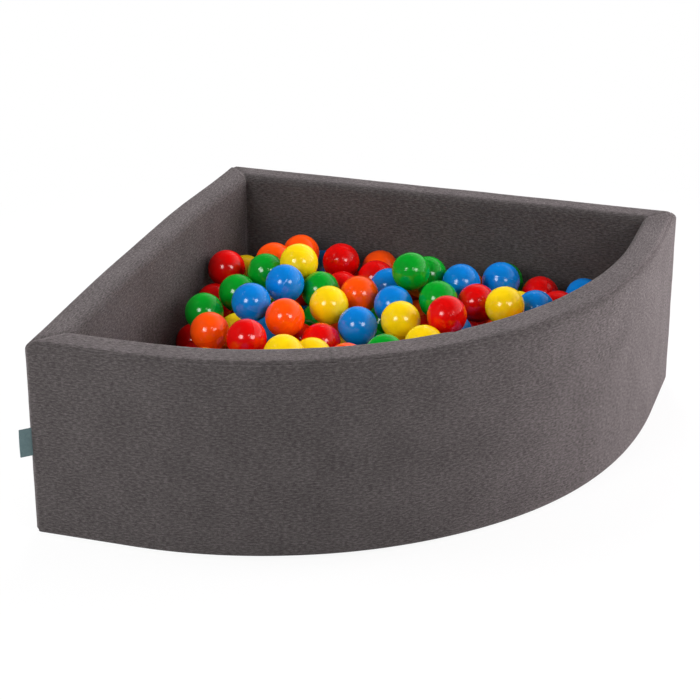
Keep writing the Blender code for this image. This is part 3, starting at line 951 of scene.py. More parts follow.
@dataclass
class ClothPanel:
    """One sewn panel: a grid of cloth carried over the foam and drawn in along its seams."""

    name: str
    replaced: str
    places: np.ndarray
    inside: np.ndarray
    seam_rows: tuple[int, ...]
    thickness: float = 0.0012
    end_tuck: float = 0.0016
    end_reach: float = 0.0038
    edge_tuck: float = 0.0010
    edge_reach: float = 0.0042
    pucker: float = 0.00035
    pucker_end_reach: float = 0.016
    pucker_edge_reach: float = 0.013
    pucker_edge_share: float = 0.7
    puckers_per_metre: float = 62.0
    slack: float = 0.0006
    slack_waves_per_metre: tuple[float, float, float] = (9.0, 9.0, 13.0)
    dents: list[tuple[Vector, float, float]] = field(default_factory=list)

    def outward(self) -> np.ndarray:
        """Find the grid's normals, and turn the grid round where its normals would point inwards.

        Returns:
            Unit normals that point away from the foam.
        """
        along = np.gradient(self.places, axis=1)
        across = np.gradient(self.places, axis=0)
        normals = np.cross(along, across)
        normals /= np.linalg.norm(normals, axis=2, keepdims=True)
        away = self.places - self.inside
        if (normals * away).sum() < 0.0:
            normals = -normals
            self.places = self.places[:, ::-1]
            self.inside = self.inside[:, ::-1]
            normals = normals[:, ::-1]
        return normals

    def runs(self, axis: int) -> np.ndarray:
        """Measure the length along the grid from its first row or column.

        Args:
            axis: 0 across the rows, 1 along them.

        Returns:
            The length at every point.
        """
        steps = np.linalg.norm(np.diff(self.places, axis=axis), axis=2)
        start = np.zeros((1, steps.shape[1])) if axis == 0 else np.zeros((steps.shape[0], 1))
        return np.cumsum(np.concatenate([start, steps], axis=axis), axis=axis)

    def shifts(self) -> np.ndarray:
        """Work out the seam tucks, the puckers, the slack and the hollows of the cloth.

        Returns:
            How far each point moves out of the plain surface.
        """
        along = self.runs(1)
        across = self.runs(0)
        from_end = np.minimum(along, along[:, -1:] - along)
        moved = -self.end_tuck * np.exp(-(from_end / self.end_reach) ** 2)
        for row in self.seam_rows:
            from_row = np.abs(across - across[row:row + 1])
            moved -= self.edge_tuck * np.exp(-(from_row / self.edge_reach) ** 2)
        waves = np.empty(moved.shape)
        ripples = np.empty(moved.shape)
        for row, column in np.ndindex(moved.shape):
            place = self.places[row, column]
            waves[row, column] = noise.noise(Vector(place * self.slack_waves_per_metre))
            ripples[row, column] = noise.noise(Vector(place * self.puckers_per_metre))
        near_seam = np.exp(-from_end / self.pucker_end_reach)
        for row in self.seam_rows:
            from_row = np.abs(across - across[row:row + 1])
            near_row = self.pucker_edge_share * np.exp(-from_row / self.pucker_edge_reach)
            near_seam = np.maximum(near_seam, near_row)
        moved += waves * self.slack + ripples * self.pucker * near_seam
        for centre, radius, depth in self.dents:
            away = np.linalg.norm(self.places - np.array(centre), axis=2)
            moved -= depth * np.exp(-(away / radius) ** 2)
        return moved

    def build(self) -> bpy.types.Object:
        """Model the panel from a grid primitive.

        Returns:
            The closed sheet.
        """
        normals = self.outward()
        shifted = self.places + normals * self.shifts()[..., None]
        rows, columns = shifted.shape[:2]
        along = self.runs(1)[rows // 2]
        across = self.runs(0)[:, columns // 2]
        piece, column, row = Workbench.grid(self.name, columns, rows)
        Workbench.place(piece, shifted[row, column])
        Workbench.lay_out(piece, np.column_stack([along[column], across[row]]))
        bpy.ops.object.shade_smooth()
        Workbench.apply(piece, "SOLIDIFY", thickness=self.thickness, offset=-1.0, use_even_offset=True)
        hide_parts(self.replaced)
        return piece


@dataclass
class Cover:
    """The sewn knit cover: outer panels, linings, floor cover and sole cloth."""

    plan: PitPlan
    knit: bpy.types.Material
    sole: bpy.types.Material
    dent_turn: float = -46.0
    dent_inset: float = 0.006
    dent_radius: float = 0.011
    dent_depth: float = 0.0022
    flat_cloth_share: float = 0.8
    hem_turn: float = 240.0
    outer_seam_turn: float = 135.0
    lining_seam_turn: float = 134.0
    turn_steps: int = 6
    panel_steps: int = 44
    rim_top_steps: int = 7
    rim_turn_steps: int = 12
    inner_steps: int = 36

    def outer_profile(self) -> tuple[list[tuple[float, float]], tuple[int, ...]]:
        """Draw an outer panel's profile from the hem up to the crease seam.

        Returns:
            Pairs of depth and height, and the row that is a seam.
        """
        plan = self.plan
        hem = arc_points((plan.hem_radius, plan.hem_radius), plan.hem_radius, self.hem_turn, 180.0,
                         self.turn_steps)
        rim = arc_points((plan.rim_radius, plan.height - plan.rim_radius), plan.rim_radius, 180.0,
                         self.outer_seam_turn, self.turn_steps)
        points = hem + run_points(hem[-1], rim[0], self.panel_steps) + rim
        return points, (len(points) - 1,)

    def lining_profile(self, side: Side) -> tuple[list[tuple[float, float]], tuple[int, ...]]:
        """Draw a lining's profile from the crease seam over the rim down to the floor.

        Args:
            side: The wall that it lines.

        Returns:
            Pairs of depth and height, and the row that is a seam.
        """
        plan = self.plan
        thickness = plan.thickness(side)
        outer = arc_points((plan.rim_radius, plan.height - plan.rim_radius), plan.rim_radius,
                           self.lining_seam_turn, 90.0, self.turn_steps)
        inner = arc_points((thickness - plan.rim_radius, plan.height - plan.rim_radius), plan.rim_radius,
                           90.0, 0.0, self.rim_turn_steps)
        foot = (thickness, plan.floor_top)
        top = run_points(outer[-1], inner[0], self.rim_top_steps)
        drop = run_points(inner[-1], foot, self.inner_steps)
        return outer + top + inner + drop + [foot], (0,)

    def carried(self, side: Side, profile: list[tuple[float, float]]) -> tuple[np.ndarray, np.ndarray]:
        """Carry a profile along a wall.

        Args:
            side: The wall.
            profile: Pairs of depth and height.

        Returns:
            The grid of places, and for each the nearest point of the foam's middle.
        """
        stations = self.plan.stations(side)
        thickness = self.plan.thickness(side)
        outer, inner = stations[:, 0], stations[:, 1]
        middle = (outer + inner) / 2
        places = []
        inside = []
        for depth, height in profile:
            flat = outer + (inner - outer) * (depth / thickness)
            level = min(max(height, thickness / 2), self.plan.height - thickness / 2)
            places.append(np.column_stack([flat, np.full(len(flat), height)]))
            inside.append(np.column_stack([middle, np.full(len(flat), level)]))
        return np.array(places), np.array(inside)

    def build(self) -> list[bpy.types.Object]:
        """Build all panels of the cover.

        Returns:
            The finished pieces.
        """
        pieces = []
        for side in Side:
            for kind, (profile, seams) in (("outer_panel", self.outer_profile()),
                                           ("lining", self.lining_profile(side))):
                places, inside = self.carried(side, profile)
                replaced = kind + "_" + side.value
                panel = ClothPanel("knit_" + replaced, replaced, places, inside, seams)
                if kind == "lining":
                    panel.dents = self.rim_dents(side)
                piece = panel.build()
                Workbench.dress(piece, self.knit, "root", "grey_knit")
                pieces.append(piece)
        pieces.append(self.flat_cloth("knit_floor_cover", "floor_cover", self.plan.floor_top, -1.0,
                                      self.knit, "grey_knit"))
        pieces.append(self.flat_cloth("woven_underside", "underside_cloth", 0.0, 1.0, self.sole,
                                      "sole_cloth"))
        return pieces

    def rim_dents(self, side: Side) -> list[tuple[Vector, float, float]]:
        """Place the soft hollow in the bent wall's rim.

        Args:
            side: The wall.

        Returns:
            Hollows, each with its centre, its radius and its depth.
        """
        plan = self.plan
        if side is not Side.ARC:
            return []
        turn = math.radians(self.dent_turn)
        reach = plan.bend_radius - plan.bent_wall + self.dent_inset
        centre = plan.bend_centre + Vector((math.cos(turn), math.sin(turn))) * reach
        return [(Vector((centre.x, centre.y, plan.height)), self.dent_radius, self.dent_depth)]

    def flat_cloth(self, name: str, replaced: str, height: float, outward: float, look: bpy.types.Material,
                   slot: str) -> bpy.types.Object:
        """Model a flat cloth of the plan's outline.

        Args:
            name: The piece's name.
            replaced: The node that it stands for.
            height: Height of its shown face.
            outward: 1 where the cloth lies above that height and shows from below, -1 the other way.
            look: Its material.
            slot: Its slot in the record.

        Returns:
            The closed sheet.
        """
        low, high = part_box(replaced)
        outline = []
        for side in Side:
            depth = low.x + self.plan.half
            if outward < 0.0:
                depth = self.plan.thickness(side)
            stations = self.plan.stations(side)[:-1]
            share = depth / self.plan.thickness(side)
            outline.extend(stations[:, 0] + (stations[:, 1] - stations[:, 0]) * share)
        piece = Workbench.plate(name, self.plan.thinned(np.array(outline)), height, -outward)
        Workbench.lay_out(piece, Workbench.coordinates(piece)[:, :2])
        Workbench.apply(piece, "SOLIDIFY", thickness=self.plan.cloth * self.flat_cloth_share, offset=-1.0)
        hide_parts(replaced)
        Workbench.dress(piece, look, "root", slot)
        return piece


@dataclass
class Label:
    """The folded ribbon in the front left corner seam, plain on both faces and shorter than its node."""

    plan: PitPlan
    ribbon: bpy.types.Material
    length_share: float = 0.76
    seam_depth: float = 0.0035
    fold_radius: float = 0.0007
    thickness: float = 0.00035
    curl_depth: float = 0.0016
    curl_turns_share: float = 0.9
    curl_start: float = 0.3
    bend_start: float = 0.001
    bend_end: float = 0.006
    smooth_angle: float = 40.0
    rows: int = 25
    run_steps: int = 12
    fold_steps: int = 8

    def build(self) -> bpy.types.Object:
        """Model the ribbon from a grid that is folded back on itself.

        Returns:
            The closed ribbon.
        """
        low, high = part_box("side_label")
        diagonal = Vector((-1.0, -1.0)).normalized()
        sideways = Vector((diagonal.y, -diagonal.x))
        root = Vector((high.x, high.y))
        tip = Vector((low.x, low.y))
        reach = (tip - root).length * self.length_share - self.fold_radius
        root.x -= float(self.plan.pull(np.array(root)))
        run = [(-self.seam_depth, self.fold_radius)]
        run += [(reach * step / self.run_steps, self.fold_radius) for step in range(self.run_steps + 1)]
        turns = [math.pi * step / self.fold_steps for step in range(1, self.fold_steps)]
        fold = [(reach + math.sin(turn) * self.fold_radius, math.cos(turn) * self.fold_radius)
                for turn in turns]
        back = [(along, -across) for along, across in reversed(run)]
        outline = run + fold + back
        lengths = np.concatenate([[0.0], np.cumsum([math.dist(a, b) for a, b in zip(outline, outline[1:])])])
        piece, column, row = Workbench.grid("ribbon_label", len(outline), self.rows)
        places = np.empty((len(column), 3))
        for index, (along, across) in enumerate(np.array(outline)[column]):
            share = row[index] / (self.rows - 1)
            wave = math.sin(math.pi * share * self.curl_turns_share + self.curl_start)
            curl = self.curl_depth * wave * max(0.0, along / reach) ** 2
            spot = root + diagonal * float(along) + sideways * float(across + curl)
            places[index] = (spot.x, spot.y, low.z + (high.z - low.z) * share)
        Workbench.place(piece, places)
        Workbench.lay_out(piece, np.column_stack([lengths[column], places[:, 2] - low.z]))
        Workbench.apply(piece, "SOLIDIFY", thickness=self.thickness, offset=1.0)
        Workbench.face_out(piece)
        bpy.ops.object.shade_smooth_by_angle(angle=math.radians(self.smooth_angle))
        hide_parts("side_label")
        piece.data.materials.clear()
        piece.data.materials.append(self.ribbon)
        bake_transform(piece)
        return piece


@dataclass
class Zip:
    """The zip in the back wall: woven tapes with stitching, coil teeth, stops, slider and puller."""

    tape: bpy.types.Material
    thread: bpy.types.Material
    coil: bpy.types.Material
    metal: bpy.types.Material
    tape_steps: tuple[int, int] = (170, 6)
    tape_sink: float = 0.0002
    tape_share: float = 0.6
    bound_edge_share: float = 0.45
    long_wave: tuple[float, float] = (23.0, 0.00018)
    short_wave: tuple[float, float] = (61.0, 0.00012)
    tooth_pitch: float = 0.0016
    tooth_size_shares: tuple[float, float, float] = (0.62, 0.8, 0.56)
    tooth_edge_share: float = 0.2
    tooth_rise_share: float = 0.20
    tooth_proud: float = 0.0002
    stitch_pitch: float = 0.0034
    stitch_share: float = 0.72
    stitch_radius: float = 0.00028
    stitch_inset: float = 0.0022
    stitch_proud: float = 0.00005
    metal_edge: float = 0.00022
    metal_weld: float = 0.00001
    metal_edge_angle: float = 35.0

    def build(self) -> list[bpy.types.Object]:
        """Model every piece of the zip.

        Returns:
            The finished pieces.
        """
        pieces = [self.tape_piece("upper"), self.tape_piece("lower"), self.chain(), self.stitching()]
        for node in ("zip_stop_left", "zip_stop_right", "zip_slider", "zip_puller"):
            pieces.append(self.metal_piece(node))
        return pieces

    def tape_piece(self, which: str) -> bpy.types.Object:
        """Model one tape as a thin woven strip with a bound edge.

        Args:
            which: upper or lower.

        Returns:
            The closed strip.
        """
        node = "zip_tape_" + which
        low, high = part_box(node)
        size = high - low
        Workbench.clear()
        bpy.ops.mesh.primitive_grid_add(x_subdivisions=self.tape_steps[0], y_subdivisions=self.tape_steps[1],
                                        size=1.0, rotation=(math.radians(90.0), 0.0, math.radians(180.0)))
        piece = Workbench.keep("woven_" + node)
        Workbench.settle(piece)
        flat = Workbench.coordinates(piece)
        edge = np.abs(flat[:, 2]) > self.bound_edge_share
        layout = np.column_stack([flat[:, 0] * size.x, flat[:, 2] * size.z])
        flat[:, 0] = low.x + (flat[:, 0] + 0.5) * size.x
        wavy = sum(np.sin(flat[:, 0] * rate) * depth for rate, depth in (self.short_wave, self.long_wave))
        flat[:, 1] = high.y - self.tape_sink + np.where(edge, 0.0, wavy)
        flat[:, 2] = low.z + (flat[:, 2] + 0.5) * size.z
        Workbench.place(piece, flat)
        Workbench.lay_out(piece, layout)
        bpy.ops.object.shade_smooth()
        Workbench.apply(piece, "SOLIDIFY", thickness=size.y * self.tape_share, offset=-1.0)
        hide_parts(node)
        Workbench.dress(piece, self.tape, "root", "zip_tape")
        return piece

    def chain(self) -> bpy.types.Object:
        """Model the closed coil: two rows of rounded teeth that mesh, in one piece.

        Returns:
            The joined teeth.
        """
        low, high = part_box("zip_chain")
        middle = (low + high) / 2
        size = high - low
        Workbench.clear()
        bpy.ops.mesh.primitive_cube_add(size=1.0)
        tooth = Workbench.keep("coil_teeth")
        wide, deep, tall = self.tooth_size_shares
        tooth.scale = (self.tooth_pitch * wide, size.y * deep, size.z * tall)
        Workbench.settle(tooth)
        Workbench.apply(tooth, "BEVEL", width=self.tooth_pitch * self.tooth_edge_share, segments=1)
        base = Workbench.row_of(tooth, int(size.x / self.tooth_pitch) - 1, self.tooth_pitch)
        made = [tooth, Workbench.twin(tooth)]
        start = low.x + self.tooth_pitch
        depth = middle.y + self.tooth_proud
        rise = size.z * self.tooth_rise_share
        for row, right, up in zip(made, (0.0, self.tooth_pitch / 2), (rise, -rise)):
            Workbench.place(row, base + np.array([start + right, depth, middle.z + up]))
        piece = Workbench.join(made, "coil_teeth")
        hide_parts("zip_chain")
        Workbench.dress(piece, self.coil, "root", "zip_teeth")
        return piece

    def stitching(self) -> bpy.types.Object:
        """Model the lockstitch rows that hold the tapes to the panel.

        Returns:
            The joined stitches.
        """
        low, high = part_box("zip_tape_lower")
        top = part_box("zip_tape_upper")[1]
        Workbench.clear()
        bpy.ops.mesh.primitive_cylinder_add(vertices=6, radius=self.stitch_radius,
                                            depth=self.stitch_pitch * self.stitch_share,
                                            rotation=(0.0, math.radians(90.0), 0.0))
        stitch = Workbench.keep("zip_stitching")
        Workbench.settle(stitch)
        base = Workbench.row_of(stitch, int((high.x - low.x) / self.stitch_pitch) - 1, self.stitch_pitch)
        made = [stitch, Workbench.twin(stitch)]
        start = low.x + self.stitch_pitch
        for row, level in zip(made, (low.z + self.stitch_inset, top.z - self.stitch_inset)):
            Workbench.place(row, base + np.array([start, high.y + self.stitch_proud, level]))
        piece = Workbench.join(made, "zip_stitching")
        bpy.ops.object.shade_smooth()
        Workbench.dress(piece, self.thread, "root", "zip_tape")
        return piece

    def metal_piece(self, node: str) -> bpy.types.Object:
        """Soften the edges of a metal node and give it the nickel finish.

        Args:
            node: The node's name.

        Returns:
            The node's object.
        """
        piece = frame["nodes"][node]
        weld = piece.modifiers.new("weld", "WELD")
        weld.merge_threshold = self.metal_weld
        bevel = piece.modifiers.new("bevel", "BEVEL")
        bevel.width = self.metal_edge
        bevel.segments = 2
        bevel.angle_limit = math.radians(self.metal_edge_angle)
        bevel.limit_method = "ANGLE"
        piece.data.materials.clear()
        piece.data.materials.append(self.metal)
        return piece


@dataclass
class Ball:
    """One blow-moulded ball, with a fine parting line round it where it is seen from near by."""

    radius: float = 0.035
    shell_share: float = 0.98
    line_half_width: float = 0.0005
    line_rise: float = 0.00016
    segments: int = 48
    rings: int = 32
    has_line: bool = True

    def model(self, name: str) -> bpy.types.Object:
        """Model a ball at the origin.

        Args:
            name: The piece's name.

        Returns:
            The ball.
        """
        Workbench.clear()
        bpy.ops.mesh.primitive_uv_sphere_add(segments=self.segments, ring_count=self.rings,
                                             radius=self.radius * self.shell_share)
        piece = Workbench.keep(name)
        if self.has_line:
            for level in (-self.line_half_width, self.line_half_width):
                bpy.ops.object.mode_set(mode="EDIT")
                bpy.ops.mesh.select_all(action="SELECT")
                bpy.ops.mesh.bisect(plane_co=(0.0, 0.0, level), plane_no=(0.0, 0.0, 1.0))
                bpy.ops.object.mode_set(mode="OBJECT")
            shape = Workbench.coordinates(piece)
            ridge = np.abs(shape[:, 2]) < self.line_half_width / 2
            shape[ridge, :2] *= 1.0 + self.line_rise / self.radius
            Workbench.place(piece, shape)
        bpy.ops.object.shade_smooth()
        return piece


@dataclass
class BallBed:
    """All balls: the single ones where the parts have them, and the bed that they lie on."""

    plan: PitPlan
    looks: dict[BallColour, bpy.types.Material]
    ball: Ball = field(default_factory=Ball)
    plain: Ball = field(default_factory=lambda: Ball(segments=24, rings=14, has_line=False))
    seed: int = 11
    colour_seed: int = 853
    turn_seed: int = 1000
    tucked_turn: int = 100
    loose_turn: int = 200
    steps: int = 420
    pushes_per_step: int = 3
    layers: int = 3
    sink_step: float = 0.0006
    sink_share: float = 0.7
    push_share: float = 0.55
    pitch_share: float = 1.03
    shake_share: float = 0.16
    clear_share: float = 0.875
    corner_share: float = 0.26
    edge_share: float = 0.13
    squeeze_share: float = 0.82
    stir: float = 0.002
    shown_depth_share: float = 3.0

    # Half hidden balls of the bed: shares of the inner span from the left and the back wall, and of the
    # height from the floor cover to the rim.
    tucked_place_shares: tuple[tuple[BallColour, tuple[Shares, ...]], ...] = (
        (BallColour.RED, ((0.052, 0.322, 0.465),)),
        (BallColour.ORANGE, ((0.191, 0.105, 0.621), (0.456, 0.045, 0.382), (0.727, 0.302, 0.446))),
        (BallColour.YELLOW, ((0.384, 0.600, 0.522), (0.492, 0.104, 0.536), (0.745, 0.187, 0.500))),
        (BallColour.GREEN, ((0.163, 0.276, 0.653), (0.290, 0.262, 0.361), (0.450, 0.275, 0.416),
                            (0.526, 0.177, 0.650), (0.678, 0.045, 0.525))),
        (BallColour.BLUE, ((0.206, 0.388, 0.402), (0.227, 0.045, 0.467), (0.441, 0.207, 0.574))),
    )

    def tucked(self) -> list[tuple[BallColour, np.ndarray]]:
        """Place the half hidden balls, each with its colour and its centre."""
        return [(colour, self.plan.centre_at(shares))
                for colour, places in self.tucked_place_shares for shares in places]

    def single_nodes(self) -> list[tuple[str, BallColour, str, np.ndarray]]:
        """Find every single ball of the part.

        Returns:
            The node, the colour, the body and the centre of each.
        """
        bodies = frame["record"]["behaviour"]["bodies"]
        body_of = {node: body for body, nodes in bodies.items() for node in nodes}
        rows = []
        for node in sorted(frame["nodes"]):
            if node.startswith(("free_ball_", "held_ball_")):
                low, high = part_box(node)
                colour = BallColour[node.split("_")[2].upper()]
                rows.append((node, colour, body_of[node], np.array((low + high) / 2)))
        return rows

    def shaken_rows(self, taken: np.ndarray) -> np.ndarray:
        """Place the bed's first centres: shaken rows in layers, clear of the balls already placed.

        Args:
            taken: Centres that are already filled.

        Returns:
            Rows of centres.
        """
        plan, radius = self.plan, self.ball.radius
        draw = random.Random(self.seed)
        pitch = 2 * radius * self.pitch_share
        row_pitch = pitch * math.sqrt(3.0) / 2
        room = radius + plan.gap
        centres = []
        for layer in range(self.layers):
            height = plan.floor_top + room + layer * plan.layer_pitch
            for row in range(math.ceil(plan.inner_span / row_pitch)):
                for column in range(math.ceil(plan.inner_span / pitch)):
                    right = radius + (column + (row + layer) % 2 / 2) * pitch
                    front = radius + row * row_pitch
                    right += draw.uniform(-self.shake_share, self.shake_share) * pitch
                    front += draw.uniform(-self.shake_share, self.shake_share) * pitch
                    place = np.array([plan.straight_wall - plan.half + right,
                                      plan.half - plan.straight_wall - front, height])
                    is_bare = right + front < self.corner_share * plan.inner_span
                    is_bare = is_bare or right < self.edge_share * plan.inner_span
                    centre = plan.kept_inside(place[None], room)[0]
                    is_outside = np.linalg.norm(centre - place) > radius
                    is_clear = np.linalg.norm(taken - centre, axis=1).min() > self.clear_share * 2 * radius
                    if is_clear and not is_outside and not (layer == self.layers - 1 and is_bare):
                        centres.append(centre)
        return np.array(centres)

    def settled(self, fixed: np.ndarray, loose: np.ndarray) -> np.ndarray:
        """Let the loose balls sink and push each other apart, round the fixed ones.

        Args:
            fixed: Centres that don't move.
            loose: Starting centres.

        Returns:
            The settled centres of the loose balls.
        """
        size = 2 * self.ball.radius
        room = self.ball.radius + self.plan.gap
        count = len(fixed)
        centres = np.concatenate([fixed, loose])
        movable = np.ones(len(centres))
        movable[:count] = 0.0
        share = movable[:, None] / np.maximum(movable[:, None] + movable, 1.0)
        for step in range(self.steps):
            if step < self.steps * self.sink_share:
                centres[count:, 2] -= self.sink_step
            for _ in range(self.pushes_per_step):
                apart = centres[:, None] - centres
                distance = np.linalg.norm(apart, axis=2) + np.eye(len(centres))
                short = np.clip(size - distance, 0.0, None)
                np.fill_diagonal(short, 0.0)
                push = (apart / distance[..., None] * (short * share)[..., None]).sum(axis=1)
                pushed = centres[count:] + push[count:] * self.push_share
                centres[count:] = self.plan.kept_inside(pushed, room)
        return centres[count:]

    def fitted(self, fixed: np.ndarray, loose: np.ndarray) -> np.ndarray:
        """Move the loose balls in with the curled-in lining, without those that no longer fit.

        Args:
            fixed: Centres of the other balls.
            loose: Settled centres.

        Returns:
            The centres that stay.
        """
        moved = self.plan.inside_lining(loose, self.ball.radius + self.plan.gap)
        shift = np.linalg.norm(moved - loose, axis=1)
        kept = list(moved[shift < self.stir])
        for centre in moved[shift >= self.stir]:
            nearest = np.linalg.norm(np.array(list(fixed) + kept) - centre, axis=1).min()
            if nearest > self.squeeze_share * 2 * self.ball.radius:
                kept.append(centre)
        return np.array(kept)

    def turned_copy(self, template: bpy.types.Object, centre: np.ndarray, number: int) -> bpy.types.Object:
        """Copy a ball with its own mesh, turned by chance, to a centre.

        Args:
            template: The ball at the origin.
            centre: Where it goes.
            number: Its number, which sets the turn.

        Returns:
            The copy.
        """
        draw = random.Random(self.turn_seed + number)
        turn = Matrix.Rotation(draw.uniform(0.0, math.tau), 4, "Z")
        tilt = Matrix.Rotation(math.acos(draw.uniform(-1.0, 1.0)), 4, "X")
        roll = Matrix.Rotation(draw.uniform(0.0, math.tau), 4, "Z")
        copy = template.copy()
        copy.data = template.data.copy()
        bpy.context.scene.collection.objects.link(copy)
        copy.data.transform(Matrix.Translation(Vector(centre)) @ turn @ tilt @ roll)
        return copy

    def build(self) -> list[bpy.types.Object]:
        """Build the single balls and the bed.

        Returns:
            The finished pieces.
        """
        fine = self.ball.model("ball_template")
        coarse = self.plain.model("plain_ball_template")
        pieces = []
        singles = self.single_nodes()
        for number, (node, colour, body, centre) in enumerate(singles):
            piece = self.turned_copy(fine, centre, number)
            piece.name = "glossy_" + node
            piece.data.name = piece.name
            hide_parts(node)
            Workbench.dress(piece, self.looks[colour], body, "ball_" + colour.name.lower())
            pieces.append(piece)
        tucked = self.tucked()
        fixed = np.array([centre for _, _, _, centre in singles] + [centre for _, centre in tucked])
        loose = self.fitted(fixed, self.settled(fixed, self.shaken_rows(fixed)))
        draw = random.Random(self.colour_seed)
        members: dict[BallColour, list[bpy.types.Object]] = {colour: [] for colour in BallColour}
        colours = list(BallColour)
        shown_from = loose[:, 2].max() - self.shown_depth_share * self.ball.radius
        for number, (colour, centre) in enumerate(tucked):
            members[colour].append(self.turned_copy(fine, centre, self.tucked_turn + number))
        for number, centre in enumerate(loose):
            colour = colours[draw.randrange(len(colours))]
            template = fine if centre[2] > shown_from else coarse
            members[colour].append(self.turned_copy(template, centre, self.loose_turn + number))
        for colour, group in members.items():
            piece = Workbench.join(group, "bed_balls_" + colour.name.lower())
            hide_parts("ball_bed")
            Workbench.dress(piece, self.looks[colour], "root", "ball_" + colour.name.lower())
            pieces.append(piece)
        for template in (fine, coarse):
            bpy.data.objects.remove(template)
        LOG.info("balls: %d single, %d tucked, %d in the bed", len(singles), len(tucked), len(loose))
        return pieces


@dataclass(frozen=True)
class Lamp:
    """One soft light: where it stands as seen from the pit, how big it is and how strong."""

    name: str
    azimuth: float
    elevation: float
    distance: float
    size: float
    watts: float
    colour: tuple[float, float, float] = (1.0, 1.0, 1.0)
    glints: bool = True


@dataclass
class Studio:
    """White floor and backdrop, soft lights and the camera."""

    azimuth: float = 0.3057
    elevation: float = 0.4173
    distance: float = 3.681
    target: tuple[float, float, float] = (-0.0747, 0.0742, 0.150)
    lens: float = 107.72
    sensor: float = 36.0
    floor_half: float = 7.0
    floor_drop: float = 0.0004
    floor_fade: float = 1.50
    floor_near_share: float = 0.80
    floor_white: Colour = (0.86, 0.86, 0.86, 1.0)
    backdrop_way: tuple[float, float, float] = (0.62, 0.62, -0.48)
    backdrop_span: tuple[float, float] = (-0.25, 0.65)
    backdrop_glow: tuple[float, float] = (0.065, 1.00)
    lamp_aim: tuple[float, float, float] = (0.0, 0.0, 0.15)
    lamps: tuple[Lamp, ...] = (
        Lamp("front_left_softbox", azimuth=-20.0, elevation=31.0, distance=3.2, size=1.20, watts=40.0),
        Lamp("front_right_softbox", azimuth=54.0, elevation=31.0, distance=3.2, size=1.15, watts=31.0),
        Lamp("small_softbox", azimuth=34.0, elevation=44.0, distance=3.2, size=0.40, watts=3.5),
        Lamp("right_strip", azimuth=118.0, elevation=12.0, distance=2.6, size=1.60, watts=91.0,
             colour=(1.0, 0.93, 0.95), glints=False),
        Lamp("left_strip", azimuth=-66.0, elevation=12.0, distance=2.6, size=1.60, watts=30.0,
             glints=False),
        Lamp("back_softbox", azimuth=-165.0, elevation=45.0, distance=2.6, size=1.20, watts=42.0,
             glints=False),
        Lamp("left_softbox", azimuth=-70.0, elevation=48.0, distance=2.6, size=1.00, watts=18.0,
             glints=False),
    )

    @staticmethod
    def heading(azimuth: float, elevation: float) -> Vector:
        """Unit vector from the pit towards a place, with azimuth 0 in front of it."""
        return Vector((math.sin(azimuth) * math.cos(elevation), -math.cos(azimuth) * math.cos(elevation),
                       math.sin(elevation)))

    def camera(self) -> None:
        """Put the camera where the photograph was taken from."""
        data = bpy.data.cameras.new("camera")
        data.lens = self.lens
        data.sensor_width = self.sensor
        camera = bpy.data.objects.new("camera", data)
        bpy.context.scene.collection.objects.link(camera)
        heading = self.heading(self.azimuth, self.elevation)
        camera.location = Vector(self.target) + heading * self.distance
        camera.rotation_mode = "QUATERNION"
        camera.rotation_quaternion = (-heading).to_track_quat("-Z", "Y")
        bpy.context.scene.camera = camera

    def floor(self) -> None:
        """Lay the white floor, which keeps a faint shadow."""
        Workbench.clear()
        bpy.ops.mesh.primitive_plane_add(size=2 * self.floor_half, location=(0.0, 0.0, -self.floor_drop))
        plane = Workbench.keep("studio_floor")
        sheet = NodeSheet("white_floor")
        sheet.set(Base_Color=self.floor_white, Roughness=0.9, Specular_IOR_Level=0.0)
        glow = sheet.nodes.new("ShaderNodeEmission")
        glow.inputs["Color"].default_value = (1.0, 1.0, 1.0, 1.0)
        path = sheet.nodes.new("ShaderNodeLightPath")
        seen = sheet.math("MAXIMUM", path.outputs["Is Camera Ray"], path.outputs["Is Transmission Ray"])
        reach = sheet.nodes.new("ShaderNodeVectorMath")
        reach.operation = "LENGTH"
        sheet.join(sheet.coordinates("Object", (1.0, 1.0, 1.0)), reach.inputs[0])
        away = sheet.math("DIVIDE", reach.outputs["Value"], self.floor_fade)
        share = sheet.math("MULTIPLY", seen, sheet.span(away, self.floor_near_share, 1.0))
        mix = sheet.nodes.new("ShaderNodeMixShader")
        sheet.join(share, mix.inputs["Fac"])
        sheet.join(sheet.shader.outputs["BSDF"], mix.inputs[1])
        sheet.join(glow.outputs["Emission"], mix.inputs[2])
        sheet.join(mix.outputs["Shader"], sheet.nodes["Material Output"].inputs["Surface"])
        plane.data.materials.append(sheet.material)

    def world(self) -> None:
        """Light the surroundings: white to the camera, white low behind, dim above and in front."""
        world = bpy.data.worlds.new("studio")
        bpy.context.scene.world = world
        world.use_nodes = True
        nodes, links = world.node_tree.nodes, world.node_tree.links
        background = nodes["Background"]
        coordinates = nodes.new("ShaderNodeTexCoord")
        facing = nodes.new("ShaderNodeVectorMath")
        facing.operation = "DOT_PRODUCT"
        facing.inputs[1].default_value = self.backdrop_way
        links.new(coordinates.outputs["Generated"], facing.inputs[0])
        spread = nodes.new("ShaderNodeMapRange")
        spread.interpolation_type = "SMOOTHSTEP"
        levels = self.backdrop_span + self.backdrop_glow
        for key, level in zip(("From Min", "From Max", "To Min", "To Max"), levels):
            spread.inputs[key].default_value = level
        links.new(facing.outputs["Value"], spread.inputs["Value"])
        path = nodes.new("ShaderNodeLightPath")
        seen = nodes.new("ShaderNodeMath")
        seen.operation = "MAXIMUM"
        links.new(path.outputs["Is Camera Ray"], seen.inputs[0])
        links.new(spread.outputs["Result"], seen.inputs[1])
        links.new(seen.outputs["Value"], background.inputs["Strength"])
        background.inputs["Color"].default_value = (1.0, 1.0, 1.0, 1.0)

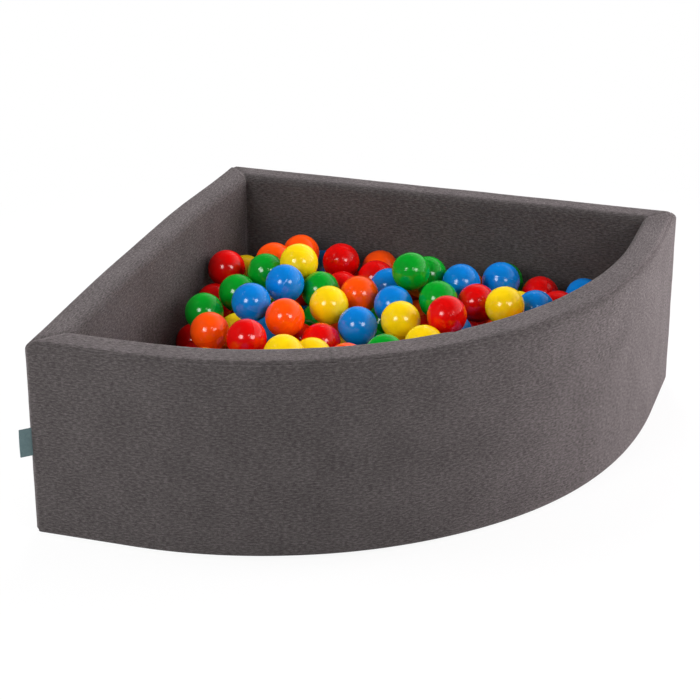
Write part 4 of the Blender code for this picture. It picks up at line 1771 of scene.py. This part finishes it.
    def light(self) -> None:
        """Hang the lamps, each aimed at the middle of the pit."""
        for lamp in self.lamps:
            data = bpy.data.lights.new(lamp.name, "AREA")
            data.shape = "DISK"
            data.size = lamp.size
            data.energy = lamp.watts
            data.color = lamp.colour
            made = bpy.data.objects.new(lamp.name, data)
            bpy.context.scene.collection.objects.link(made)
            heading = self.heading(math.radians(lamp.azimuth), math.radians(lamp.elevation))
            made.location = Vector(self.lamp_aim) + heading * lamp.distance
            made.visible_glossy = lamp.glints
            made.rotation_mode = "QUATERNION"
            made.rotation_quaternion = (-heading).to_track_quat("-Z", "Y")

    def build(self) -> None:
        """Set up the floor, the world and the lamps."""
        self.floor()
        self.world()
        self.light()


@dataclass
class FoamFilling:
    """The foam inside the cover: three slabs and a pad, cut to the cover's plan."""

    plan: PitPlan
    look: bpy.types.Material
    clearance: float = 0.0022
    rounding_steps: int = 5

    def profile(self, side: Side, low: float, high: float) -> list[tuple[float, float]]:
        """Draw the closed outline of a slab's cut, rounded at the top.

        Args:
            side: The wall that it fills.
            low: Height of its underside.
            high: Height of its top.

        Returns:
            Pairs of depth and height.
        """
        radius = self.plan.rim_radius
        first = self.clearance
        last = self.plan.thickness(side) - self.clearance
        outer = arc_points((first + radius, high - radius), radius, 180.0, 90.0, self.rounding_steps)
        inner = arc_points((last - radius, high - radius), radius, 90.0, 0.0, self.rounding_steps)
        return [(first, low)] + outer + inner + [(last, low), (first, low)]

    def slab(self, side: Side, node: str) -> bpy.types.Object:
        """Cut one slab and put it where its node is.

        Args:
            side: The wall that it fills.
            node: The node that it stands for.

        Returns:
            The closed slab.
        """
        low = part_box(node)[0]
        stations = self.plan.stations(side)
        outer, inner = stations[:, 0], stations[:, 1]
        profile = self.profile(side, low.z, self.plan.height - self.clearance)
        rows = [np.column_stack([outer + (inner - outer) * (depth / self.plan.thickness(side)),
                                 np.full(len(outer), level)]) for depth, level in profile]
        piece, column, row = Workbench.grid("cut_" + node, len(outer), len(rows))
        Workbench.place(piece, np.array(rows)[row, column])
        bpy.ops.object.mode_set(mode="EDIT")
        bpy.ops.mesh.select_all(action="SELECT")
        bpy.ops.mesh.remove_doubles(threshold=self.plan.gap / 3)
        bpy.ops.mesh.select_all(action="DESELECT")
        bpy.ops.mesh.select_non_manifold()
        bpy.ops.mesh.edge_face_add()
        Workbench.face_out(piece)
        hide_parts(node)
        Workbench.dress(piece, self.look, "root", "foam")
        return piece

    def pad(self) -> bpy.types.Object:
        """Cut the floor pad that lies between the slabs.

        Returns:
            The closed pad.
        """
        low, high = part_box("foam_base")
        outline = []
        for side in Side:
            stations = self.plan.stations(side)[:-1]
            share = 1.0 + self.clearance / self.plan.thickness(side)
            outline.extend(stations[:, 0] + (stations[:, 1] - stations[:, 0]) * share)
        piece = Workbench.plate("cut_foam_base", self.plan.thinned(np.array(outline)), high.z, 1.0)
        Workbench.apply(piece, "SOLIDIFY", thickness=high.z - low.z, offset=-1.0)
        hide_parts("foam_base")
        Workbench.dress(piece, self.look, "root", "foam")
        return piece

    def build(self) -> list[bpy.types.Object]:
        """Cut the slabs and the pad.

        Returns:
            The foam's objects.
        """
        return [self.slab(side, "foam_wall_" + side.value) for side in Side] + [self.pad()]


def main() -> None:
    """Build the camera, the pieces and the studio."""
    logging.basicConfig(level=logging.INFO, format="%(name)s: %(message)s")
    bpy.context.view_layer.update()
    studio = Studio()
    studio.camera()
    plan = PitPlan()
    knit = KnitFinish().make()
    sole = SOLE_WEAVE.make()
    tape = TAPE_WEAVE.make()
    ribbon = RIBBON_WEAVE.make()
    thread = THREAD.make()
    coil = COIL_NYLON.make()
    nickel = MetalFinish().make()
    looks = {colour: PlasticFinish("plastic_" + colour.name.lower(), colour.value).make()
             for colour in BallColour}
    built = FoamFilling(plan, FoamFinish().make()).build()
    built += Cover(plan, knit, sole).build()
    built.append(Label(plan, ribbon).build())
    built += Zip(tape, thread, coil, nickel).build()
    built += BallBed(plan, looks).build()
    for piece in built:
        LOG.info("%s: %d faces", piece.name, len(piece.data.polygons))
    studio.build()
    bpy.context.scene.view_settings.view_transform = "Standard"


if __name__ == "__main__":
    main()
